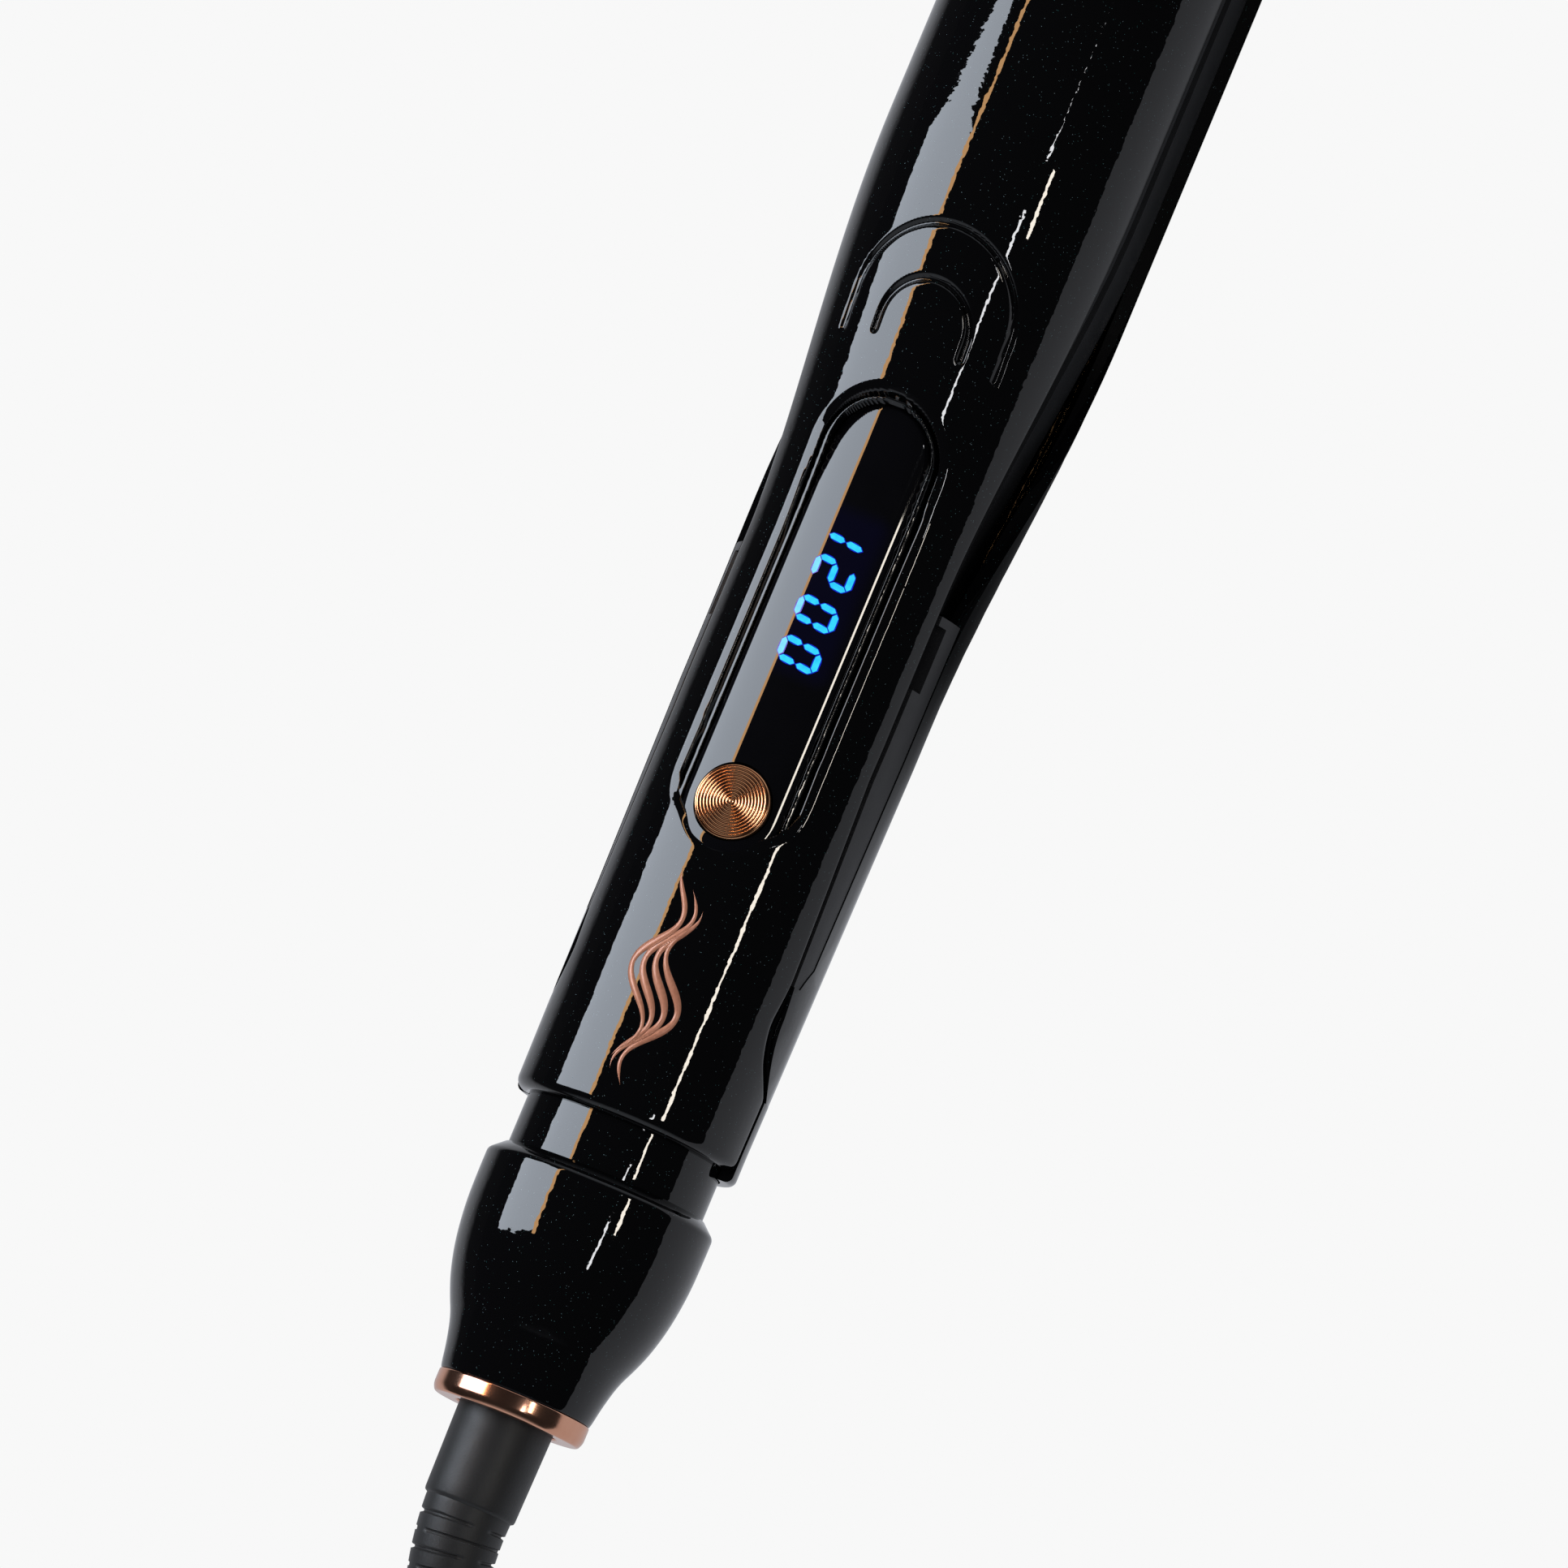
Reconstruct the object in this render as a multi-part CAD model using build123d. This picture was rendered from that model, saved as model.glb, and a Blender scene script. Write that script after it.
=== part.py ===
"""Clamp-type curling and straightening iron with a swivel cord, lying on its back arm, display up.

Every piece is drawn in the body frame: x runs along the iron's long axis from the end face of the
trim ring (x = 0) to the tip, y is across, z = 0 is the long axis. place() then moves it into the
part's own frame, whose origin is at the middle of the underside.
"""

from build123d import *
import math
import os

# ---- driving dimensions, in mm ----
BODY_LENGTH = 304.0  # trim ring end face to tip
WALL = 2.0

# handle and head of the two arms
TAIL_X = 41.0  # tail end of the housing
TAIL_RADIUS = 15.9
TAIL_CHAMFER = 1.6
HANDLE_RADIUS = 16.6
HANDLE_FULL_X = 100.0  # the handle has its full radius from here on
HEAD_RADIUS = 18.7
HEAD_OFFSET = 5.6  # how far each arm's centre lies off the long axis in the head
FRONT_FLARE = (120.0, 180.0)
BACK_FLARE = (105.0, 165.0)
SHELL_END_X = 296.0  # the tip caps begin here
REST_FLAT = 0.8  # depth of the flat on the back arm's underside
AXIS_HEIGHT = HEAD_OFFSET + HEAD_RADIUS - REST_FLAT

# parting lines, as heights over the long axis
HANDLE_EDGE = 8.0
HEAD_EDGE = 9.8
TAIL_SPLIT = 1.3
PANEL_SPLIT = 3.1
PART_GAP = 0.35
HANDLE_EDGE_X = 95.0  # the front arm's edge reaches HANDLE_EDGE here
PANEL_X = (66.3, 118.9)
NOTCH_X = (108.4, 117.6)
NOTCH_DEPTH = 1.6

# hinge
PIN_X = 62.0
PIN_Z = -8.0
PIN_RADIUS = 1.75
PIN_HALF = 11.6
RUNNING = 0.05
SCOOP_RADIUS = 14.2  # in the front arm and tail cover
HEEL_RADIUS = 13.4  # the back arm's round heel
EAR_Y = (4.0, 6.4)
EAR_RADIUS = 4.3
KNUCKLE_Y = (6.9, 15.0)
KNUCKLE_RADIUS = 4.0
SPRING_WIRE = 1.0
SPRING_RADIUS = 3.1
SPRING_TURNS = 5

# display, recess, button
LENS_X = (78.0, 141.5)
LENS_HALF = 7.0
LENS_RADIUS = 16.25
RECESS_X = (77.6, 144.1)
RECESS_HALF = 9.8
SHOULDER_X = 84.0  # the recess narrows from here to its foot, a round end about the button
FOOT_X = 80.2
RECESS_FLOOR = 13.9
BUTTON_X = 85.0
BUTTON_RADIUS = 5.05
BUTTON_HOLE = 5.4
BUTTON_TRAVEL = 0.6
BOARD_TOP = 10.2
BOARD_THICK = 1.6

# grip grooves: two horseshoes with their round end towards the tip
GROOVE_HALF_WIDTHS = (10.9, 6.15)
GROOVE_APEX_X = (168.2, 160.9)
GROOVE_LEGS_X = (149.0, 149.8)
GROOVE_WIDTH = 1.0
GROOVE_DEPTH = 0.7

# plates
PLATE_X = (200.0, 291.0)
PLATE_HALF = 13.2
PLATE_FLANGE = 0.9
PLATE_GAP = 0.3  # between the closed plates, half on each side
PLATE_FLOAT = 1.0
CARRIER_X = 120.5
CARRIER_HALF = 16.3
CARRIER_START_HALF = 12.0
CARRIER_FACE = 1.5  # the carriers' inner faces stand this far off the middle
CARRIER_WALL = 1.6

# tail end
RING_WIDTH = 3.1
RING_RADIUS = 10.6
BELL_X = 33.8
BELL_PROFILE = [(7.2, 12.0), (12.7, 14.0), (19.9, 15.3), (25.4, 16.0)]
BELL_END_RADIUS = 10.7
BELL_RADIUS = 16.0
BELL_CHAMFER = 1.7
NECK_RADIUS = 13.8
NECK_BORE = 11.6
SWIVEL_BORE = 7.0

# strain relief
BOOT_RADIUS = 6.65
BOOT_SLEEVE = 12.5
BOOT_FLEX_RADIUS = 5.65
BOOT_END_RADIUS = 4.5
BOOT_BEND_RADIUS = 40.0
BOOT_BEND = 26.0
BOOT_RUN = 14.0
BOOT_ROLL = 50.0  # the bend leans this far from straight down towards -y

# cord
CORD_DIAMETER = 6.0
CORD_FLOOR = -AXIS_HEIGHT + CORD_DIAMETER / 2
HANK_X = -85.0  # the hank's near end
HANK_LENGTH = 120.0
HANK_FOLD = 24.0  # radius of the outer turns
HANK_WAIST = 15.0  # half-width of the outer turns at the tie
HANK_ROWS = 3
TIE_WIDTH = 14.0
TIE_THICK = 1.2
PLUG_X = -170.0
PLUG_RELIEF = 15.0
PLUG_BODY = (28.0, 24.0, 15.0)
BLADE = (17.0, 6.35, 1.5)
BLADE_PITCH = 12.7

# inside the housings
FLARE_STEPS = 6
BACK_EDGE_DROP = (112.0, 165.0)  # the back shell's edge falls from PANEL_SPLIT to -HEAD_EDGE here
PANEL_SEAM = 0.15
PANEL_INSET = 0.12
PANEL_INNER = 12.3
TAIL_WALL = 2.4
SPIGOT_RADIUS = 12.7
SPIGOT_END_X = 45.2
NECK_X = 27.0
BELL_WALL_X = 6.1
LIP_REACH = 1.4
PAN_MARGIN = 1.5
PAN_WALL = 1.2
DISPLAY_X = (103.0, 127.0)
DISPLAY_HALF = 5.2
DISPLAY_TOP = 12.6
BOARD_X = (76.0, 142.0)
BOARD_HALF = 6.8
SWITCH_TOP = 11.6
BUTTON_BASE = 13.4
BUTTON_TOP = 16.7
LINER_X = (68.0, 119.0)
LINER_HALF = 11.9
LINER_Z = (4.7, 6.1)
LINER_RIB_X = (80.0, 108.0)
TRAY_X = (70.0, 117.0)
TRAY_HALF = 7.4
TRAY_FLOOR = 3.6
TRAY_WALL = 1.2
BACK_FLOOR_X = (70.0, 118.0)
BACK_FLOOR_Z = (1.6, 3.0)
SCREW_RADIUS = 0.95
SCREW_Y = 9.9
FRONT_SCREW_X = (90.0, 115.0)
FRONT_SCREW_TOP = 11.0
BACK_SCREW_X = (75.0, 111.0)
BACK_SCREW_LOW = -6.0
TAIL_SCREW_X = 46.6
TAIL_SCREW_Y = 7.5
TAIL_SCREW_RADIUS = 1.1
TAIL_SCREW_HEAD = 1.7
TAIL_SCREW_SEAT = -12.2
TAIL_SCREW_TOP = 2.0
BRACKET_X = (45.4, 50.4)
BRACKET_Z = (-7.0, 9.0)
BRACKET_HALF = 9.2
LEAD_RADIUS = 0.8
LEAD_SPACING = 1.3
LEAD_END_Z = 6.0  # clear of the plate's flange when the plate is pressed in
LEAD_GAP = 1.2
PTC_X = (208.0, 283.0)
PTC_HALF = 6.0
PTC_Z = (4.0, 6.5)
BRIDGE_X = (225.0, 266.0)
BRIDGE_LOW = 8.5
SLEEVE_END_X = 4.0
SPINDLE_RADIUS = 4.5

BOOT_REACH = (
    BOOT_SLEEVE
    + BOOT_BEND_RADIUS * math.sin(math.radians(BOOT_BEND))
    + BOOT_RUN * math.cos(math.radians(BOOT_BEND))
    + BOOT_END_RADIUS * math.sin(math.radians(BOOT_BEND))
)
MIDDLE_X = (BODY_LENGTH - BOOT_REACH) / 2
HUGE = 60.0


# ---- helpers ----
def place(shape):
    """Moves a piece from the body frame into the part's frame."""
    return Pos(-MIDDLE_X, 0, AXIS_HEIGHT) * shape


def eased(x, span):
    """0 before span, 1 after it, level at both ends."""
    t = min(max((x - span[0]) / (span[1] - span[0]), 0.0), 1.0)
    return t * t * (3 - 2 * t)


def arm_radius(x, flare):
    """Outer radius of an arm at x."""
    share = min((x - TAIL_X) / (HANDLE_FULL_X - TAIL_X), 1.0)
    handle = TAIL_RADIUS + (HANDLE_RADIUS - TAIL_RADIUS) * share
    return handle + (HEAD_RADIUS - HANDLE_RADIUS) * eased(x, flare)


def x_disc(x, radius, z=0.0):
    """A round face square to the long axis."""
    return Plane(origin=(x, 0, z), x_dir=(0, 1, 0), z_dir=(1, 0, 0)) * Circle(radius)


def arm_body(side, flare, inset=0.0, start=TAIL_X, end=SHELL_END_X):
    """The round body an arm is cut from. side is +1 for the front arm and -1 for the back arm."""

    def disc(x):
        return x_disc(x, arm_radius(x, flare) - inset, side * HEAD_OFFSET * eased(x, flare))

    flare_xs = [flare[0] + (flare[1] - flare[0]) * k / FLARE_STEPS for k in range(FLARE_STEPS + 1)]
    body = loft([disc(start), disc(HANDLE_FULL_X)]) + loft([disc(HANDLE_FULL_X), disc(flare[0])])
    return body + loft([disc(x) for x in flare_xs]) + loft([disc(flare[1]), disc(end)])


def xz(x, z):
    """A point of the upright plane through the long axis."""
    return Vector(x, 0, z)


def side_prism(edges):
    """A prism right across the iron over an outline drawn in the x-z plane."""
    return extrude(make_face(edges), HUGE / 2, both=True)


def x_cylinder(x0, x1, radius, z=0.0, y=0.0):
    """A cylinder along the long axis from x0 to x1."""
    return Pos((x0 + x1) / 2, y, z) * Rot(0, 90, 0) * Cylinder(radius, x1 - x0)


def y_cylinder(y0, y1, radius, x=PIN_X, z=PIN_Z):
    """A cylinder across the iron from y0 to y1, on the hinge axis unless told otherwise."""
    return Pos(x, (y0 + y1) / 2, z) * Rot(90, 0, 0) * Cylinder(radius, abs(y1 - y0))


def z_cylinder(x, y, z0, z1, radius):
    """An upright cylinder from z0 to z1."""
    return Pos(x, y, (z0 + z1) / 2) * Cylinder(radius, z1 - z0)


def block(x0, x1, y0, y1, z0, z1):
    """A box between two corners."""
    return Pos((x0 + x1) / 2, (y0 + y1) / 2, (z0 + z1) / 2) * Box(x1 - x0, y1 - y0, z1 - z0)


def stadium(x0, x1, half, z0, z1):
    """An upright prism over a stadium whose round ends reach x0 and x1."""
    return Pos((x0 + x1) / 2, 0, z0) * extrude(SlotOverall(x1 - x0, 2 * half), z1 - z0)


def turned(points):
    """A solid turned about the long axis from an outline of (x, radius) points."""
    outline = Polyline(*[xz(x, r) for x, r in points], close=True)
    return revolve(make_face(outline), Axis.X)


def wire_run(points, radii, wire_radius):
    """A round wire along straight runs joined by arcs."""
    path = FilletPolyline(*points, radius=radii)
    return sweep(Plane(path @ 0, z_dir=path % 0) * Circle(wire_radius), path)


def mirrored(shape):
    """The same piece for the back arm."""
    return mirror(shape, Plane.XY)


# ---- parting surfaces ----
def front_edge(x):
    """Height of the front arm's lower edge over the long axis."""
    scoop_top = PIN_Z + SCOOP_RADIUS
    handle = scoop_top + (HANDLE_EDGE - scoop_top) * min((x - PIN_X) / (HANDLE_EDGE_X - PIN_X), 1.0)
    return handle + (HEAD_EDGE - HANDLE_EDGE) * eased(x, FRONT_FLARE)


def front_edge_line(drop, start):
    """The front arm's lower edge as edges from start to past the tip, lowered by drop."""
    a = xz(start, front_edge(start) - drop)
    b = xz(HANDLE_EDGE_X, HANDLE_EDGE - drop)
    c = xz(FRONT_FLARE[0], HANDLE_EDGE - drop)
    d = xz(FRONT_FLARE[1], HEAD_EDGE - drop)
    e = xz(BODY_LENGTH + 10, HEAD_EDGE - drop)
    level = [(1, 0, 0), (1, 0, 0)]
    return [Line(a, b), Line(b, c), Spline(c, d, tangents=level), Line(d, e)], a, e


def front_region():
    """Everything that belongs to the front arm: over the tail split, the scoop and the edge."""
    split_x = PIN_X - math.sqrt(SCOOP_RADIUS**2 - (TAIL_SPLIT - PIN_Z) ** 2)
    turn = math.radians(110)
    top = xz(PIN_X, PIN_Z + SCOOP_RADIUS)
    middle = xz(PIN_X + SCOOP_RADIUS * math.cos(turn), PIN_Z + SCOOP_RADIUS * math.sin(turn))
    edge, start, end = front_edge_line(0, PIN_X)
    corner_low, corner_high = xz(TAIL_X - 10, TAIL_SPLIT), xz(TAIL_X - 10, HUGE / 2)
    split = xz(split_x, TAIL_SPLIT)
    return side_prism(
        [Line(corner_low, split), ThreePointArc(split, middle, top), *edge]
        + [Line(end, xz(end.X, HUGE / 2)), Line(xz(end.X, HUGE / 2), corner_high)]
        + [Line(corner_high, corner_low)]
    )


def back_region():
    """Everything that belongs to the back arm's shell: the round heel, and what is under its edge."""
    heel_top = xz(PIN_X, PIN_Z + HEEL_RADIUS)
    shoulder = xz(PANEL_X[0], front_edge(PANEL_X[0]) - PART_GAP)
    step = xz(PANEL_X[0], PANEL_SPLIT)
    drop_start, drop_end = xz(BACK_EDGE_DROP[0], PANEL_SPLIT), xz(BACK_EDGE_DROP[1], -HEAD_EDGE)
    end, below = xz(BODY_LENGTH + 10, -HEAD_EDGE), xz(BODY_LENGTH + 10, -HUGE / 2)
    drop = Spline(drop_start, drop_end, tangents=[(1, 0, 0), (1, 0, 0)])
    corners = [below, xz(PIN_X, -HUGE / 2), heel_top]
    return side_prism(
        [Line(heel_top, shoulder), Line(shoulder, step), Line(step, drop_start), drop]
        + [Line(drop_end, end), Line(end, below), Polyline(*corners)]
    ) + y_cylinder(-HUGE / 2, HUGE / 2, HEEL_RADIUS)


def panel_region():
    """The band between the back shell's edge and the parting line, along the handle."""
    edge, start, _ = front_edge_line(PART_GAP, PANEL_X[0])
    low = PANEL_SPLIT + PANEL_SEAM
    end_top = xz(PANEL_X[1], front_edge(PANEL_X[1]) - PART_GAP)
    corners = [end_top, xz(PANEL_X[1], low), xz(PANEL_X[0], low), start]
    return side_prism([edge[0], Line(edge[0] @ 1, end_top), Polyline(*corners)])


# ---- front arm ----
def recess_outline():
    """The display recess seen from above: a round end towards the tip, shoulders and a smaller round foot."""
    top_x = RECESS_X[1] - RECESS_HALF
    foot_half = math.sqrt((BUTTON_X - RECESS_X[0]) ** 2 - (BUTTON_X - FOOT_X) ** 2)
    side = Polyline((top_x, RECESS_HALF), (SHOULDER_X, RECESS_HALF), (FOOT_X, foot_half))
    tip = ThreePointArc((top_x, RECESS_HALF), (RECESS_X[1], 0), (top_x, -RECESS_HALF))
    foot = ThreePointArc((FOOT_X, foot_half), (RECESS_X[0], 0), (FOOT_X, -foot_half))
    return make_face([tip, foot, *side.edges(), *mirror(side, Plane.XZ).edges()])


def pan_block(margin, radius):
    """What the display recess takes up, outside a cylinder about the long axis."""
    outline = offset(recess_outline(), margin) if margin else recess_outline()
    x0, x1 = RECESS_X[0] - margin, RECESS_X[1] + margin
    return extrude(outline, HUGE / 2) - x_cylinder(x0 - 1, x1 + 1, radius)


def grip_groove(half_width, apex, legs):
    """An upright horseshoe wall where a grip groove runs."""
    far = legs - 3 * half_width
    ring = stadium(far, apex + GROOVE_WIDTH / 2, half_width + GROOVE_WIDTH / 2, 0, HUGE / 2)
    ring -= stadium(far, apex - GROOVE_WIDTH / 2, half_width - GROOVE_WIDTH / 2, 0, HUGE / 2)
    return ring & block(legs, apex + 5, -HUGE, HUGE, 0, HUGE)


def tail_blank(inset=0.0):
    """The tail end's chamfer, up to where the arm bodies begin."""
    reach = TAIL_X + TAIL_CHAMFER
    radius = arm_radius(reach, FRONT_FLARE)
    return loft([x_disc(TAIL_X, NECK_RADIUS + 0.15 - inset), x_disc(reach, radius - inset)])


def front_outer():
    """The front arm's outer body with its chamfered tail end."""
    return tail_blank() + arm_body(1, FRONT_FLARE, start=TAIL_X + TAIL_CHAMFER)


def front_hollow():
    """The room inside the front arm, less the floor of the display recess."""
    hollow = arm_body(1, FRONT_FLARE, inset=WALL, start=TAIL_X + TAIL_WALL, end=SHELL_END_X + 1)
    return hollow - pan_block(PAN_MARGIN, RECESS_FLOOR - PAN_WALL)


def front_arm_shell():
    shell = front_outer() - front_hollow()
    shell -= x_cylinder(TAIL_X - 1, TAIL_X + TAIL_WALL + 1, SPIGOT_RADIUS + 0.1)
    shell &= front_region()
    shell -= pan_block(0, RECESS_FLOOR)
    shell -= z_cylinder(BUTTON_X, 0, 0, HUGE / 2, BUTTON_HOLE)
    shell -= block(*DISPLAY_X, -DISPLAY_HALF, DISPLAY_HALF, 0, HUGE / 2)
    skin = arm_body(1, FRONT_FLARE, inset=GROOVE_DEPTH, start=TAIL_X + TAIL_CHAMFER)
    for half_width, apex, legs in zip(GROOVE_HALF_WIDTHS, GROOVE_APEX_X, GROOVE_LEGS_X):
        shell -= grip_groove(half_width, apex, legs) - skin
    for x, y in screw_places(FRONT_SCREW_X):
        shell -= z_cylinder(x, y, 0, FRONT_SCREW_TOP, SCREW_RADIUS)
    return shell


def front_arm_liner():
    low, high = LINER_Z
    liner = block(*LINER_X, -LINER_HALF, LINER_HALF, low, high)
    tray = block(*TRAY_X, -TRAY_HALF, TRAY_HALF, TRAY_FLOOR, high)
    room = block(
        TRAY_X[0] + TRAY_WALL, TRAY_X[1] - TRAY_WALL, -TRAY_HALF + TRAY_WALL, TRAY_HALF - TRAY_WALL,
        TRAY_FLOOR + TRAY_WALL, high + 1,
    )
    liner = liner + tray - room
    for x in LINER_RIB_X:
        liner += block(x, x + TRAY_WALL, -TRAY_HALF, TRAY_HALF, high - 1, BOARD_TOP - BOARD_THICK)
    for x, y in screw_places(FRONT_SCREW_X):
        liner -= z_cylinder(x, y, low - 1, high + 1, SCREW_RADIUS + 0.1)
    return liner


def tail_cover():
    radius = arm_radius(TAIL_X, FRONT_FLARE)
    cover = front_outer() - arm_body(1, FRONT_FLARE, inset=WALL, start=TAIL_X + TAIL_WALL)
    cover -= x_cylinder(TAIL_X - 1, TAIL_X + TAIL_WALL + 1, SPIGOT_RADIUS + 0.1)
    cover &= block(TAIL_X - 5, PIN_X, -HUGE, HUGE, -HUGE, TAIL_SPLIT - 0.1)
    cover -= y_cylinder(-HUGE / 2, HUGE / 2, SCOOP_RADIUS)
    lip = x_cylinder(TAIL_X - LIP_REACH, TAIL_X + 0.3, radius - 0.9)
    lip -= x_cylinder(TAIL_X - 5, TAIL_X + 5, NECK_RADIUS + 0.15)
    cover += lip & block(TAIL_X - 5, TAIL_X + 5, -HUGE, HUGE, -HUGE, TAIL_SPLIT - 0.1)
    for y in (-TAIL_SCREW_Y, TAIL_SCREW_Y):
        cover -= z_cylinder(TAIL_SCREW_X, y, -HUGE, TAIL_SCREW_SEAT, TAIL_SCREW_HEAD + 0.1)
        cover -= z_cylinder(TAIL_SCREW_X, y, -HUGE, 0, TAIL_SCREW_RADIUS + 0.1)
    return cover


def hinge_bracket():
    low, high = BRACKET_Z
    bracket = block(*BRACKET_X, -BRACKET_HALF, BRACKET_HALF, low, high)
    bracket -= block(BRACKET_X[0] - 1, BRACKET_X[1] + 1, -2.9, 2.9, -1.0, 6.0)
    ear = Polyline(
        xz(BRACKET_X[1] - 1, low), xz(BRACKET_X[1] - 1, 3.0), xz(PIN_X + 1.0, PIN_Z + EAR_RADIUS - 0.1),
        xz(PIN_X + 3.0, PIN_Z), xz(PIN_X, PIN_Z - EAR_RADIUS + 0.2), close=True,
    )
    for side in (-1, 1):
        inner, outer = side * EAR_Y[0], side * EAR_Y[1]
        plate = Pos(0, (inner + outer) / 2, 0) * extrude(make_face(ear), (EAR_Y[1] - EAR_Y[0]) / 2, both=True)
        bracket += plate + y_cylinder(inner, outer, EAR_RADIUS)
    bracket -= y_cylinder(-HUGE / 2, HUGE / 2, PIN_RADIUS)
    for y in (-TAIL_SCREW_Y, TAIL_SCREW_Y):
        bracket -= z_cylinder(TAIL_SCREW_X, y, low - 1, TAIL_SCREW_TOP, TAIL_SCREW_RADIUS)
    return bracket


def hinge_pin():
    return y_cylinder(-PIN_HALF, PIN_HALF, PIN_RADIUS)


def opening_spring():
    pitch = SPRING_WIRE + 0.15
    height = pitch * SPRING_TURNS
    turn = Plane(origin=(PIN_X, height / 2, PIN_Z), x_dir=(0, 0, -1), z_dir=(0, -1, 0))
    path = turn * Helix(pitch, height, SPRING_RADIUS)
    coil = sweep(Plane(path @ 0, z_dir=path % 0) * Circle(SPRING_WIRE / 2), path)
    return coil


def display_lens():
    x0, x1 = LENS_X
    lens = stadium(x0, x1, LENS_HALF, 0, HUGE / 2) & x_cylinder(x0 - 1, x1 + 1, LENS_RADIUS)
    lens -= x_cylinder(x0 - 1, x1 + 1, RECESS_FLOOR)
    return lens - z_cylinder(BUTTON_X, 0, 0, HUGE / 2, BUTTON_HOLE)


def display_module():
    x0, x1 = DISPLAY_X[0] + 0.3, DISPLAY_X[1] - 0.3
    half = DISPLAY_HALF - 0.3
    return block(x0, x1, -half, half, BOARD_TOP, DISPLAY_TOP)


def control_board():
    board = block(*BOARD_X, -BOARD_HALF, BOARD_HALF, BOARD_TOP - BOARD_THICK, BOARD_TOP)
    chips = block(92, 100, -4, 4, BOARD_TOP, BOARD_TOP + 1.2) + block(130, 137, -3, 3, BOARD_TOP, BOARD_TOP + 1.5)
    return board + chips


def button_switch():
    body = block(BUTTON_X - 3, BUTTON_X + 3, -3, 3, BOARD_TOP, BOARD_TOP + 1.0)
    return body + z_cylinder(BUTTON_X, 0, BOARD_TOP + 1.0, SWITCH_TOP, 1.7)


def power_button():
    cap = z_cylinder(BUTTON_X, 0, BUTTON_BASE, BUTTON_TOP, BUTTON_RADIUS)
    cap = chamfer(cap.edges().group_by(Axis.Z)[-1], 0.25)
    return cap + z_cylinder(BUTTON_X, 0, SWITCH_TOP + BUTTON_TRAVEL + 0.1, BUTTON_BASE + 0.5, 1.6)


def lead_pair(points, radii):
    """Two insulated wires side by side."""
    runs = [wire_run([(x, y + side * LEAD_SPACING, z) for x, y, z in points], radii, LEAD_RADIUS) for side in (-1, 1)]
    return Compound(children=runs)


def front_leads():
    return lead_pair([(142.2, 0, 9.4), (152, 0, 11.8), (198.5, 0, 11.8), (PTC_X[0] - LEAD_GAP, 0, LEAD_END_Z)], 4)


def supply_leads():
    return lead_pair([(21.8, 0, 2.6), (54, 0, 2.6), (66, 0, 9.4), (BOARD_X[0] - 0.1, 0, 9.4)], 6)


# ---- carriers, plates and tips, drawn for the front arm ----
def carrier_plan(inset):
    """An upright prism over the carrier's outline seen from above."""
    a = Vector(CARRIER_X + inset, CARRIER_START_HALF - inset)
    b = Vector(FRONT_FLARE[1], CARRIER_HALF - inset)
    end = SHELL_END_X - inset
    side = [Spline(a, b, tangents=[(1, 0, 0), (1, 0, 0)]), Line(b, (end, b.Y))]
    other = [mirror(edge, Plane.XZ) for edge in side]
    ends = [Line((end, b.Y), (end, -b.Y)), Line((a.X, a.Y), (a.X, -a.Y))]
    return extrude(make_face(side + other + ends), HUGE / 2)


def plate_carrier():
    edge, start, end = front_edge_line(0.05, CARRIER_X)
    low_left, low_right = xz(start.X, CARRIER_FACE), xz(end.X, CARRIER_FACE)
    flare_start = xz(FRONT_FLARE[0] + 0.5, front_edge(FRONT_FLARE[0]) - 0.05)
    lower = [Line(end, low_right), Line(low_right, low_left)]
    band = side_prism([edge[2], edge[3], *lower, Line(low_left, xz(FRONT_FLARE[0], CARRIER_FACE)),
                       Line(xz(FRONT_FLARE[0], CARRIER_FACE), edge[2] @ 0)])
    carrier = carrier_plan(0) & band
    room = carrier_plan(CARRIER_WALL) & block(0, HUGE * 6, -HUGE, HUGE, CARRIER_FACE + CARRIER_WALL, HUGE / 2)
    carrier -= room
    carrier -= block(PLATE_X[0] - 0.4, PLATE_X[1] + 0.4, -PLATE_HALF - 0.4, PLATE_HALF + 0.4, 0, HUGE / 2 - 20)
    for x in BRIDGE_X:
        carrier += block(x - 5, x + 5, -CARRIER_HALF + 0.5, CARRIER_HALF - 0.5, BRIDGE_LOW, HEAD_EDGE - 0.1)
    return carrier


def heated_plate():
    x0, x1 = PLATE_X
    low = PLATE_GAP / 2
    flange_low = CARRIER_FACE + CARRIER_WALL
    face = block(x0, x1, -PLATE_HALF, PLATE_HALF, low, flange_low + 0.2)
    face = fillet(face.edges().group_by(Axis.Z)[0], 1.2)
    flange = block(x0 - 1.4, x1 + 1.4, -PLATE_HALF - 1.3, PLATE_HALF + 1.3, flange_low, flange_low + PLATE_FLANGE)
    return face + flange


def ptc_heater():
    return block(*PTC_X, -PTC_HALF, PTC_HALF, *PTC_Z)


def thermistor():
    x = PLATE_X[1] - 5
    return block(x, x + 5, -2, 2, PTC_Z[0], PTC_Z[0] + 1.6)


def float_pads():
    pads = [block(x - 4, x + 4, -5, 5, PTC_Z[1], BRIDGE_LOW) for x in BRIDGE_X]
    return Compound(children=pads)


def tip_cap():
    steps = [(SHELL_END_X, HEAD_RADIUS), (SHELL_END_X + 3.0, HEAD_RADIUS - 0.25)]
    steps += [(BODY_LENGTH - 2.0, HEAD_RADIUS - 1.6), (BODY_LENGTH, HEAD_RADIUS - 4.4)]
    round_end = loft([x_disc(x, r, HEAD_OFFSET) for x, r in steps])
    return round_end & block(SHELL_END_X, BODY_LENGTH, -HUGE, HUGE, CARRIER_FACE, HUGE)


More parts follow.
